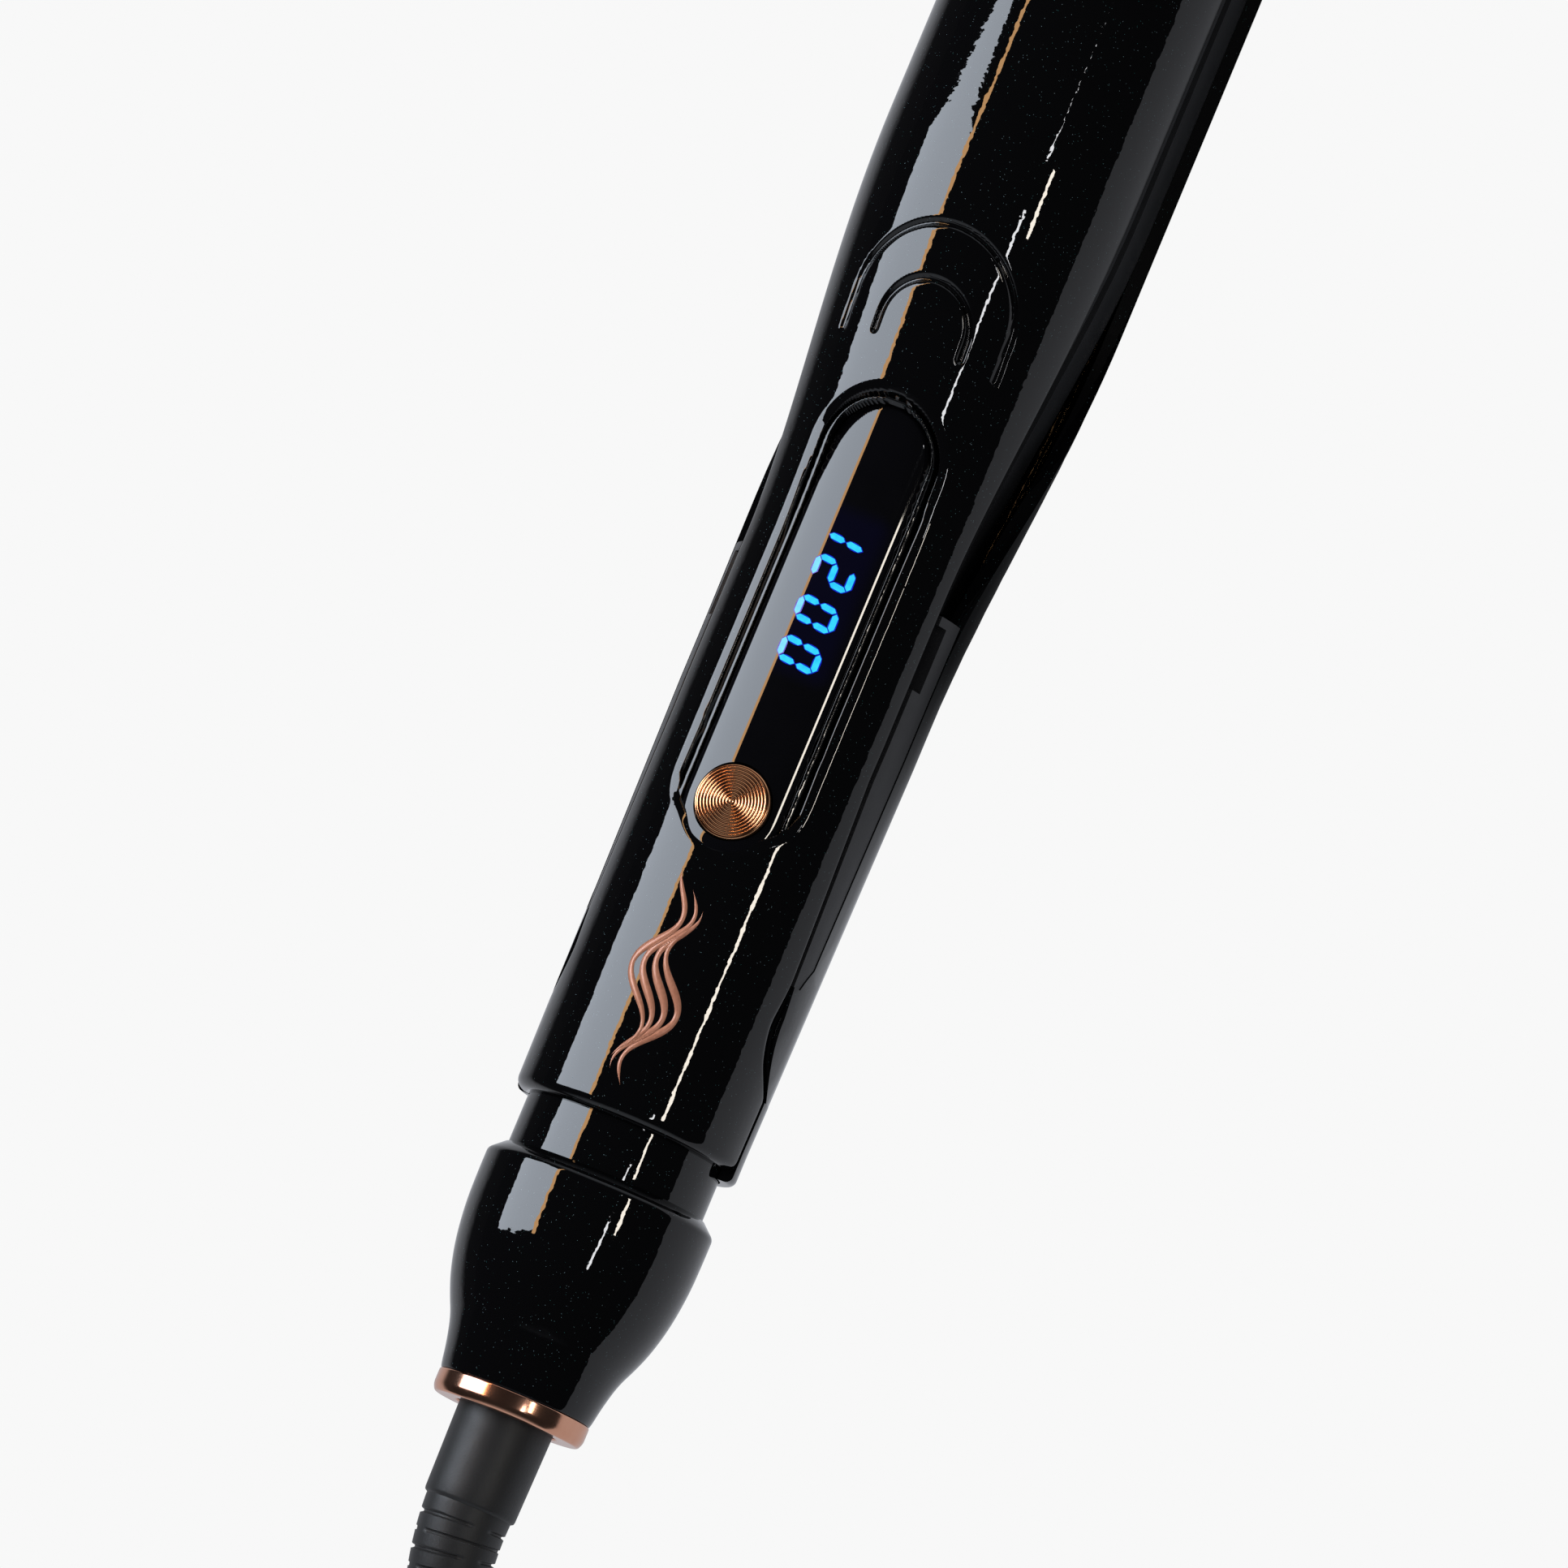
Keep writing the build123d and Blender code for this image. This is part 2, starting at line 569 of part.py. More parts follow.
# ---- back arm ----
def rest_flat():
    """What lies under the surface that the iron rests on."""
    return block(-HUGE * 3, HUGE * 6, -HUGE, HUGE, -HUGE, -AXIS_HEIGHT)


def back_arm_shell():
    outer = arm_body(-1, BACK_FLARE, start=TAIL_X)
    shell = outer - arm_body(-1, BACK_FLARE, inset=WALL, start=TAIL_X, end=SHELL_END_X + 1)
    for side in (-1, 1):
        shell += y_cylinder(side * KNUCKLE_Y[0], side * KNUCKLE_Y[1], KNUCKLE_RADIUS) & outer
    for x, y in screw_places(BACK_SCREW_X):
        boss = z_cylinder(x, y, -HUGE / 2, BACK_FLOOR_Z[0], 2.4) & outer
        shell += boss
    shell &= back_region()
    shell -= y_cylinder(-PIN_HALF - 0.2, PIN_HALF + 0.2, PIN_RADIUS + RUNNING)
    for x, y in screw_places(BACK_SCREW_X):
        shell -= z_cylinder(x, y, BACK_SCREW_LOW, HUGE / 4, SCREW_RADIUS)
    return shell - rest_flat()


def back_arm_liner():
    side_band = arm_body(-1, BACK_FLARE, inset=PANEL_INSET) & panel_region()
    side_band -= block(0, HUGE * 3, -PANEL_INNER, PANEL_INNER, 0, HUGE)
    side_band -= y_cylinder(-HUGE / 2, HUGE / 2, HEEL_RADIUS + PANEL_SEAM)
    for side in (-1, 1):
        inner, outer = sorted((side * PANEL_INNER, side * HUGE / 2))
        side_band -= block(*NOTCH_X, inner, outer, front_edge(NOTCH_X[0]) - PART_GAP - NOTCH_DEPTH, HUGE)
    floor = arm_body(-1, BACK_FLARE, inset=WALL + 0.1) & block(*BACK_FLOOR_X, -HUGE, HUGE, *BACK_FLOOR_Z)
    ledge_x = (BACK_FLOOR_X[0], PANEL_X[1] - 0.2)
    for side in (-1, 1):
        inner, outer = sorted((side * PANEL_INNER, side * (PANEL_INNER + 0.9)))
        floor += block(*ledge_x, inner, outer, BACK_FLOOR_Z[0], PANEL_SPLIT + 1.5)
    liner = side_band + floor
    for x, y in screw_places(BACK_SCREW_X):
        liner -= z_cylinder(x, y, 0, HUGE / 2, SCREW_RADIUS + 0.1)
    return liner


def back_leads():
    return lead_pair([(72, 0, -11.0), (92, 0, -12.2), (198.5, 0, -12.4), (PTC_X[0] - LEAD_GAP, 0, -LEAD_END_Z)], 4)


# ---- screws ----
def screw_places(xs):
    """Two screws across at each x."""
    return [(x, side * SCREW_Y) for x in xs for side in (-1, 1)]


def screw(x, y, seat, tip):
    """A pan-head screw whose head sits on seat and whose shank ends at tip."""
    up = 1 if tip > seat else -1
    head = z_cylinder(x, y, min(seat, seat - up * 1.2), max(seat, seat - up * 1.2), 1.9)
    head -= z_cylinder(x, y, min(seat - up * 1.3, seat - up * 0.7), max(seat - up * 1.3, seat - up * 0.7), 0.9)
    return head + z_cylinder(x, y, min(seat, tip), max(seat, tip), SCREW_RADIUS)


def front_screws():
    return Compound(children=[screw(x, y, LINER_Z[0], FRONT_SCREW_TOP) for x, y in screw_places(FRONT_SCREW_X)])


def back_screws():
    return Compound(children=[screw(x, y, BACK_FLOOR_Z[1], BACK_SCREW_LOW) for x, y in screw_places(BACK_SCREW_X)])


def tail_screws():
    screws = []
    for y in (-TAIL_SCREW_Y, TAIL_SCREW_Y):
        shank = z_cylinder(TAIL_SCREW_X, y, TAIL_SCREW_SEAT, TAIL_SCREW_TOP, TAIL_SCREW_RADIUS)
        head = z_cylinder(TAIL_SCREW_X, y, TAIL_SCREW_SEAT - 0.9, TAIL_SCREW_SEAT, TAIL_SCREW_HEAD)
        head -= z_cylinder(TAIL_SCREW_X, y, TAIL_SCREW_SEAT - 1, TAIL_SCREW_SEAT - 0.4, 0.8)
        screws.append(shank + head)
    return Compound(children=screws)


# ---- tail end and swivel ----
def neck_sleeve():
    sleeve = x_cylinder(NECK_X, TAIL_X, NECK_RADIUS) + x_cylinder(TAIL_X, SPIGOT_END_X, SPIGOT_RADIUS)
    sleeve += x_cylinder(TAIL_X + TAIL_WALL + 0.1, SPIGOT_END_X, NECK_RADIUS - 0.6)
    return sleeve - x_cylinder(NECK_X - 1, SPIGOT_END_X + 1, NECK_BORE)


def tail_bell():
    outer = [(RING_WIDTH, BELL_END_RADIUS), *BELL_PROFILE]
    outer += [(BELL_X - BELL_CHAMFER, BELL_RADIUS), (BELL_X, NECK_RADIUS + 0.2)]
    bore = NECK_RADIUS + 0.05
    inner = [(BELL_X, bore), (NECK_X - 0.5, bore), (NECK_X - 0.5, 13.0), (15.0, 12.2), (9.0, 10.2), (BELL_WALL_X, 9.6)]
    inner += [(BELL_WALL_X, SWIVEL_BORE), (RING_WIDTH, SWIVEL_BORE)]
    return turned(outer + inner)


def trim_ring():
    ring = x_cylinder(0, RING_WIDTH, RING_RADIUS) - x_cylinder(-1, RING_WIDTH + 1, SWIVEL_BORE)
    return chamfer(ring.edges().group_by(Axis.X)[0], 0.4)


def swivel_spindle():
    spindle = x_cylinder(SLEEVE_END_X, BELL_WALL_X + 0.5, BOOT_RADIUS) + x_cylinder(BELL_WALL_X + 0.5, 9.0, 8.6)
    return spindle + x_cylinder(9.0, 21.0, SPINDLE_RADIUS) - x_cylinder(0, 30, 1.6)


def slip_rings():
    rings = [x_cylinder(x, x + 1.5, SPINDLE_RADIUS + 1.0) - x_cylinder(x - 1, x + 3, SPINDLE_RADIUS) for x in (11, 15)]
    return Compound(children=rings)


def brush_block():
    holder = x_cylinder(10.0, 19.5, 9.9) + x_cylinder(19.5, 21.5, 12.45)
    return holder - x_cylinder(9, 22, SPINDLE_RADIUS + 1.6)


# ---- strain relief and cord ----
def bend_direction():
    """Unit vector towards which the strain relief bends, square to the long axis."""
    roll = math.radians(BOOT_ROLL)
    return Vector(0, -math.sin(roll), -math.cos(roll))


def boot_points():
    """End of the sleeve, end of the bend and end of the strain relief, with the last direction."""
    bend = math.radians(BOOT_BEND)
    down = bend_direction()
    sleeve = Vector(-BOOT_SLEEVE, 0, 0)
    mid = sleeve + Vector(-1, 0, 0) * (BOOT_BEND_RADIUS * math.sin(bend / 2))
    mid += down * (BOOT_BEND_RADIUS * (1 - math.cos(bend / 2)))
    curve = sleeve + Vector(-1, 0, 0) * (BOOT_BEND_RADIUS * math.sin(bend))
    curve += down * (BOOT_BEND_RADIUS * (1 - math.cos(bend)))
    way = Vector(-1, 0, 0) * math.cos(bend) + down * math.sin(bend)
    return sleeve, mid, curve, curve + way * BOOT_RUN, way


def strain_relief():
    sleeve, mid, curve, end, way = boot_points()
    straight = x_cylinder(sleeve.X, SLEEVE_END_X, BOOT_RADIUS)
    arc = ThreePointArc(sleeve, mid, curve)
    flex = sweep(Plane(sleeve, z_dir=(-1, 0, 0)) * Circle(BOOT_FLEX_RADIUS), arc)
    taper = loft([Plane(curve, z_dir=way) * Circle(BOOT_FLEX_RADIUS), Plane(end, z_dir=way) * Circle(BOOT_END_RADIUS)])
    return straight + flex + taper


def tube(points):
    """A cord along runs joined by arcs as large as the runs allow. Prints its radii and its volume's share."""
    runs = [b - a for a, b in zip(points, points[1:])]
    radii = [
        0.45 * min(a.length, b.length) / math.tan(math.radians(a.get_angle(b)) / 2)
        for a, b in zip(runs, runs[1:])
    ]
    path = FilletPolyline(*points, radius=radii)
    solid = sweep(Plane(points[0], z_dir=runs[0]) * Circle(CORD_DIAMETER / 2), path)
    section = math.pi * CORD_DIAMETER**2 / 4
    print("radii", [round(r, 1) for r in radii], "length", round(path.length, 1))
    print("volume over section times length", round(solid.volume / (section * path.length), 4))
    return solid


def cord_route():
    """From the strain relief down to the floor and into the hank's side."""
    end = boot_points()[3]
    way = boot_points()[4]
    return [
        end,
        end + way * 14,
        Vector(-70, -18.2, -16.6),
        Vector(-87, -22.9, CORD_FLOOR),
        Vector(-107, -HANK_FOLD, CORD_FLOOR),
    ]


def lead_route():
    """From the hank's top round to the plug that lies on it."""
    top = -AXIS_HEIGHT + HANK_ROWS * CORD_DIAMETER
    return [
        Vector(-104, -18.6, top - CORD_DIAMETER / 2),
        Vector(-118, -17.4, top - 0.5),
        Vector(-137, -7.4, top + 5.0),
        Vector(-154, 0, top + PLUG_BODY[2] / 2),
        Vector(PLUG_X, 0, top + PLUG_BODY[2] / 2),
    ]


def hank_outline():
    """Seen from above: round folds at both ends, drawn in at the tie."""
    near, far = HANK_X - CORD_DIAMETER / 2, HANK_X - HANK_LENGTH + CORD_DIAMETER / 2
    fold, waist = HANK_FOLD + CORD_DIAMETER / 2, HANK_WAIST + CORD_DIAMETER / 2
    near_x, far_x = HANK_X - fold, HANK_X - HANK_LENGTH + fold
    middle = (near_x + far_x) / 2
    upper = Spline((near_x, fold), (middle, waist), (far_x, fold), tangents=[(-1, 0, 0), (-1, 0, 0)])
    lower = mirror(upper, Plane.XZ)
    near_arc = ThreePointArc((near_x, fold), (HANK_X, 0), (near_x, -fold))
    far_arc = ThreePointArc((far_x, fold), (HANK_X - HANK_LENGTH, 0), (far_x, -fold))
    return make_face([upper, lower, near_arc, far_arc])


def cord_hank():
    return Pos(0, 0, -AXIS_HEIGHT) * extrude(hank_outline(), HANK_ROWS * CORD_DIAMETER)


def hank_tie():
    middle = HANK_X - HANK_LENGTH / 2
    half, top = HANK_WAIST + CORD_DIAMETER / 2 + 1.0, -AXIS_HEIGHT + HANK_ROWS * CORD_DIAMETER
    band = block(middle - TIE_WIDTH / 2, middle + TIE_WIDTH / 2, -half - TIE_THICK, half + TIE_THICK,
                 -AXIS_HEIGHT, top + TIE_THICK)
    return band - cord_hank()


def plug_body():
    length, width, height = PLUG_BODY
    z = lead_route()[-1].Z
    x1 = PLUG_X - PLUG_RELIEF
    body = block(x1 - length, x1, -width / 2, width / 2, z - height / 2, z + height / 2)
    body = fillet(body.edges().filter_by(Axis.X), 4.0)
    plane = Plane(origin=(PLUG_X, 0, z), x_dir=(0, 1, 0), z_dir=(-1, 0, 0))
    relief = loft([plane * Circle(BOOT_END_RADIUS - 0.4), plane.offset(PLUG_RELIEF + 0.5) * Circle(5.6)])
    return body + relief


def plug_blades():
    length, width, thick = BLADE
    z = lead_route()[-1].Z
    x1 = PLUG_X - PLUG_RELIEF - PLUG_BODY[0]
    blades = [
        block(x1 - length, x1, y - thick / 2, y + thick / 2, z - width / 2, z + width / 2)
        for y in (-BLADE_PITCH / 2, BLADE_PITCH / 2)
    ]
    return Compound(children=blades)


NODES = {
    "front_arm_shell": front_arm_shell,
    "front_arm_liner": front_arm_liner,
    "tail_cover": tail_cover,
    "hinge_bracket": hinge_bracket,
    "hinge_pin": hinge_pin,
    "opening_spring": opening_spring,
    "display_lens": display_lens,
    "display_module": display_module,
    "control_board": control_board,
    "button_switch": button_switch,
    "power_button": power_button,
    "front_leads": front_leads,
    "supply_leads": supply_leads,
    "front_plate_carrier": plate_carrier,
    "front_plate": heated_plate,
    "front_ptc_heater": ptc_heater,
    "front_thermistor": thermistor,
    "front_float_pads": float_pads,
    "front_tip_cap": tip_cap,
    "back_arm_shell": back_arm_shell,
    "back_arm_liner": back_arm_liner,
    "back_leads": back_leads,
    "front_screws": front_screws,
    "back_screws": back_screws,
    "tail_screws": tail_screws,
    "neck_sleeve": neck_sleeve,
    "tail_bell": tail_bell,
    "trim_ring": trim_ring,
    "swivel_spindle": swivel_spindle,
    "slip_rings": slip_rings,
    "brush_block": brush_block,
    "strain_relief": strain_relief,
    "power_cord": lambda: tube(cord_route()) - cord_hank(),
    "plug_lead": lambda: tube(lead_route()) - cord_hank(),
    "cord_hank": cord_hank,
    "hank_tie": hank_tie,
    "plug_body": plug_body,
    "plug_blades": plug_blades,
}
MIRRORED = {
    "back_plate_carrier": "front_plate_carrier",
    "back_plate": "front_plate",
    "back_ptc_heater": "front_ptc_heater",
    "back_thermal_fuse": "front_thermistor",
    "back_float_pads": "front_float_pads",
    "back_tip_cap": "front_tip_cap",
}


def main():
    os.makedirs("parts", exist_ok=True)
    made = {name: make() for name, make in NODES.items()}
    for name, original in MIRRORED.items():
        made[name] = mirrored(made[original])
    made["back_tip_cap"] -= rest_flat()
    for name, shape in made.items():
        export_step(place(shape), f"parts/{name}.step")


main()
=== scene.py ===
"""Looks of a slim hair iron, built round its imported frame.

Each class is one sub-assembly, one finish or one light set. Sizes are in millimetres in the iron's own frame:
x runs along the iron from the trim ring's end face to the tip, y goes across and z is up over the long axis.
"""

import logging
import math
from collections.abc import Sequence
from dataclasses import dataclass
from enum import Enum

import bmesh
import bpy
import numpy as np
from mathutils import Matrix, Vector

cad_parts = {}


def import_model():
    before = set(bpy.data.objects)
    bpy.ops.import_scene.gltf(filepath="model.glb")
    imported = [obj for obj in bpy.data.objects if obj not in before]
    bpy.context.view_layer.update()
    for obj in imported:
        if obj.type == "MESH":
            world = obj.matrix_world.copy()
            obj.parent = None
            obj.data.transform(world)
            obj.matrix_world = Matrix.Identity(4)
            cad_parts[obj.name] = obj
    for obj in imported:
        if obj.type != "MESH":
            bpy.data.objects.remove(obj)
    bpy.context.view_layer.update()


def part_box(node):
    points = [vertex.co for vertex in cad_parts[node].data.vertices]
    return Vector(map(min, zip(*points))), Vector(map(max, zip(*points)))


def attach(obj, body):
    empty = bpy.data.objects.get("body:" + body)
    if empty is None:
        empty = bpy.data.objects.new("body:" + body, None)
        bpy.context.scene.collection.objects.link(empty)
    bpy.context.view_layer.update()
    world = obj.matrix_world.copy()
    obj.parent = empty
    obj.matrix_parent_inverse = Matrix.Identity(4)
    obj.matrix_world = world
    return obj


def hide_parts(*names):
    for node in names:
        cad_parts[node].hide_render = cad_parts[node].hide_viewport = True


LOG = logging.getLogger("hair_iron")
MM = 0.001

Point = tuple[float, float]
Link = bpy.types.Node | bpy.types.NodeSocket | float | Sequence[float] | Vector


class Body(Enum):
    """Rigid bodies that pieces ride on."""

    CORD_END = "cord_end"
    FRONT_ARM = "front_arm"
    POWER_BUTTON = "power_button"


class Slot(Enum):
    """Material slots of the record. Each new piece is handed one, but nothing reads it."""

    SHELL = "shell"
    NECK = "neck"
    LENS = "lens"
    DISPLAY = "display"
    ROSE_METAL = "rose_metal"
    SOFT_BLACK = "soft_black"
    CORD = "cord"
    TIE = "tie"
    PLUG = "plug"


# ---- where things are ----
@dataclass(frozen=True)
class LongAxis:
    """The iron's long axis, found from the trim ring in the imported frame."""

    origin: Vector

    @classmethod
    def from_frame(cls) -> "LongAxis":
        """Reads the trim ring's end face and centre."""
        low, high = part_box("trim_ring")
        return cls(Vector((low.x, 0.0, (low.z + high.z) / 2)))

    def at(self, x: float, y: float = 0.0, z: float = 0.0) -> Vector:
        """Turns millimetres along, across and over the axis into the row frame in metres."""
        return self.origin + Vector((x, y, z)) * MM

    def rows(self, points: np.ndarray) -> np.ndarray:
        """Turns an array of points in millimetres into metres in the row frame."""
        return points * MM + np.array(self.origin)


def eased(x: np.ndarray, start: float, end: float) -> np.ndarray:
    """0 before start, 1 after end and level at both."""
    t = np.clip((np.asarray(x, float) - start) / (end - start), 0.0, 1.0)
    return t * t * (3 - 2 * t)


@dataclass(frozen=True)
class Housing:
    """Outer sizes of the two arms."""

    tail_x: float = 41.0
    tail_radius: float = 15.9
    tail_chamfer: float = 1.6
    handle_full_x: float = 100.0
    handle_radius: float = 16.6
    head_radius: float = 18.7
    head_offset: float = 5.6
    front_flare: Point = (120.0, 180.0)
    wall: float = 2.0
    pin_x: float = 62.0
    pin_z: float = -8.0
    scoop_radius: float = 14.2
    tail_split: float = 1.3
    handle_edge: float = 8.0
    handle_edge_x: float = 95.0
    head_edge: float = 9.8

    def radius(self, x: np.ndarray, flare: Point) -> np.ndarray:
        """Outer radius of an arm at each x."""
        share = np.clip((x - self.tail_x) / (self.handle_full_x - self.tail_x), 0.0, 1.0)
        handle = self.tail_radius + (self.handle_radius - self.tail_radius) * share
        full = handle + (self.head_radius - self.handle_radius) * eased(x, *flare)
        turn = np.clip((x - self.tail_x) / self.tail_chamfer, 0.0, 1.0)
        return full - self.tail_chamfer * (1 - np.sqrt(1 - (1 - turn) ** 2))

    def offset(self, x: np.ndarray, flare: Point) -> np.ndarray:
        """How far an arm's centre lies off the long axis at each x."""
        return self.head_offset * eased(x, *flare)

    def front_edge(self, x: np.ndarray) -> np.ndarray:
        """Height of the front arm's lower edge at each x."""
        reach = np.clip(self.scoop_radius**2 - (x - self.pin_x) ** 2, 0.0, None)
        scoop = np.maximum(self.pin_z + np.sqrt(reach), self.tail_split)
        top = self.pin_z + self.scoop_radius
        share = np.clip((x - self.pin_x) / (self.handle_edge_x - self.pin_x), 0.0, 1.0)
        handle = top + (self.handle_edge - top) * share
        head = handle + (self.head_edge - self.handle_edge) * eased(x, *self.front_flare)
        return np.where(x < self.pin_x, scoop, head)


# ---- colour and nodes ----
def linear(colour: str, alpha: float = 1.0) -> tuple[float, float, float, float]:
    """Turns an sRGB hex colour into linear light.

    Args:
        colour: six hex digits after a hash.
        alpha: passed on as it is.

    Returns:
        Linear red, green and blue, and alpha.
    """
    parts = [int(colour[i : i + 2], 16) / 255 for i in (1, 3, 5)]
    flat = [c / 12.92 if c <= 0.04045 else ((c + 0.055) / 1.055) ** 2.4 for c in parts]
    return (*flat, alpha)


def add(
    tree: bpy.types.NodeTree, kind: str, links: dict[str | int, Link] | None = None, **settings: object
) -> bpy.types.Node:
    """Adds one node.

    Args:
        tree: the node tree it goes into.
        kind: the node's type, without the words that all shader nodes start with.
        links: input name or index to a node, an output socket or a value.
        settings: attributes of the node.

    Returns:
        The new node.
    """
    node = tree.nodes.new("ShaderNode" + kind)
    for name, value in settings.items():
        setattr(node, name, value)
    for name, value in (links or {}).items():
        socket = node.inputs[name]
        if isinstance(value, bpy.types.Node):
            value = next(out for out in value.outputs if out.enabled)
        if isinstance(value, bpy.types.NodeSocket):
            tree.links.new(value, socket)
        else:
            socket.default_value = value
    return node


def cells(size_mm: float) -> float:
    """Texture scale that gives a pattern with this many millimetres to a cell."""
    return 1.0 / (size_mm * MM)


# ---- finishes ----
@dataclass(frozen=True)
class Finish:
    """A real material with its surface. Each finish makes one node material and keeps it."""

    name: str

    def shader(self, tree: bpy.types.NodeTree, place: bpy.types.NodeSocket) -> bpy.types.Node:
        """Makes the finish's shader.

        Args:
            tree: the material's node tree.
            place: the piece's own coordinates in metres, which ride with it.

        Returns:
            The shader node.
        """
        raise NotImplementedError

    def material(self) -> bpy.types.Material:
        """Returns the finish's node material, made on first use."""
        made = bpy.data.materials.get(self.name)
        if made is None:
            made = bpy.data.materials.new(self.name)
            made.use_nodes = True
            tree = made.node_tree
            tree.nodes.clear()
            shader = self.shader(tree, add(tree, "TexCoord").outputs["Object"])
            add(tree, "OutputMaterial", {"Surface": shader})
        return made

    def put_on(self, piece: bpy.types.Object) -> None:
        """Gives a piece this finish in every slot."""
        if not piece.data.materials:
            piece.data.materials.append(None)
        for k in range(len(piece.data.materials)):
            piece.data.materials[k] = self.material()


@dataclass(frozen=True)
class PearlLacquer(Finish):
    """Moulded ABS under black pearl lacquer, sprayed: deep black gloss, sparse flake, slight ripple in reflections."""

    name: str = "abs_black_pearl_lacquer_sprayed"
    colour: str = "#050506"
    # real flake is near 0.05 mm; it is drawn coarser so that single flakes show
    flake_mm: float = 0.16
    flake_share: float = 0.972
    ripple_mm: float = 1.3
    ripple_depth_mm: float = 0.014

    def shader(self, tree: bpy.types.NodeTree, place: bpy.types.NodeSocket) -> bpy.types.Node:
        """Flakes lie under a smooth coat, so they glint apart from what the coat reflects."""
        grid = add(tree, "TexVoronoi", {"Vector": place, "Scale": cells(self.flake_mm)})
        tint = add(tree, "SeparateColor", {"Color": grid.outputs["Color"]})
        chosen = add(tree, "Math", {0: tint.outputs[0], 1: self.flake_share}, operation="GREATER_THAN")
        near = add(tree, "Math", {0: grid.outputs["Distance"], 1: 0.3}, operation="LESS_THAN")
        flake = add(tree, "Math", {0: chosen, 1: near}, operation="MULTIPLY")
        hue = add(tree, "Mix", {0: tint.outputs[1], 6: linear("#124644"), 7: linear("#66787F")}, data_type="RGBA")
        colour = add(tree, "Mix", {0: flake, 6: linear(self.colour), 7: hue}, data_type="RGBA")
        ripple = add(tree, "TexNoise", {"Vector": place, "Scale": cells(self.ripple_mm), "Detail": 1.5})
        coat = add(tree, "Bump", {"Height": ripple.outputs[0], "Distance": self.ripple_depth_mm * MM, "Strength": 1.0})
        return add(
            tree,
            "BsdfPrincipled",
            {
                "Base Color": colour,
                "Roughness": 0.4,
                "Specular IOR Level": 0.0,
                "Coat Weight": 1.0,
                "Coat Roughness": 0.02,
                "Coat IOR": 1.5,
                "Coat Normal": coat,
            },
        )


@dataclass(frozen=True)
class SmokedAcrylic(Finish):
    """Polished smoked acrylic: clean black mirror, with a blue glow in it round the lit digits."""

    name: str = "acrylic_smoked_polished"
    glow_at: tuple[float, float, float] = (0.0, 0.0, 0.0)
    glow_half: tuple[float, float, float] = (0.0, 0.0, 0.0)
    glow_reach_mm: float = 3.0

    def shader(self, tree: bpy.types.NodeTree, place: bpy.types.NodeSocket) -> bpy.types.Node:
        """The glow fades with distance from the digits' box."""
        haze = add(tree, "TexNoise", {"Vector": place, "Scale": cells(6.0)})
        tone = add(tree, "Mix", {0: haze.outputs[0], 6: linear("#050507"), 7: linear("#08080B")}, data_type="RGBA")
        inside = add(tree, "VectorMath", {0: place, 1: self.glow_at}, operation="SUBTRACT")
        size = add(tree, "VectorMath", {0: inside}, operation="ABSOLUTE")
        past = add(tree, "VectorMath", {0: size, 1: self.glow_half}, operation="SUBTRACT")
        out = add(tree, "VectorMath", {0: past, 1: (0, 0, 0)}, operation="MAXIMUM")
        away = add(tree, "VectorMath", {0: out}, operation="LENGTH").outputs["Value"]
        ends = {"From Max": self.glow_reach_mm * MM, "To Min": 0.014, "To Max": 0.0}
        glow = add(tree, "MapRange", {"Value": away, **ends}, interpolation_type="SMOOTHSTEP")
        return add(
            tree,
            "BsdfPrincipled",
            {
                "Base Color": tone,
                "Roughness": 0.02,
                "IOR": 1.49,
                "Emission Color": linear("#1300A8"),
                "Emission Strength": glow.outputs[0],
            },
        )


@dataclass(frozen=True)
class LitSegment(Finish):
    """Clear epoxy over a lit diode, cast: even cyan light, a little uneven from the epoxy."""

    name: str = "epoxy_clear_cast_lit"
    low: str = "#16B6F7"
    high: str = "#49EEFF"
    strength: float = 1.0

    def shader(self, tree: bpy.types.NodeTree, place: bpy.types.NodeSocket) -> bpy.types.Node:
        """A slight unevenness keeps the light from looking painted."""
        grain = add(tree, "TexNoise", {"Vector": place, "Scale": cells(0.9)})
        light = add(tree, "Mix", {0: grain.outputs[0], 6: linear(self.low), 7: linear(self.high)}, data_type="RGBA")
        fixed = {"Base Color": linear("#04262C"), "Roughness": 0.1, "Emission Strength": self.strength}
        return add(tree, "BsdfPrincipled", {"Emission Color": light, **fixed})


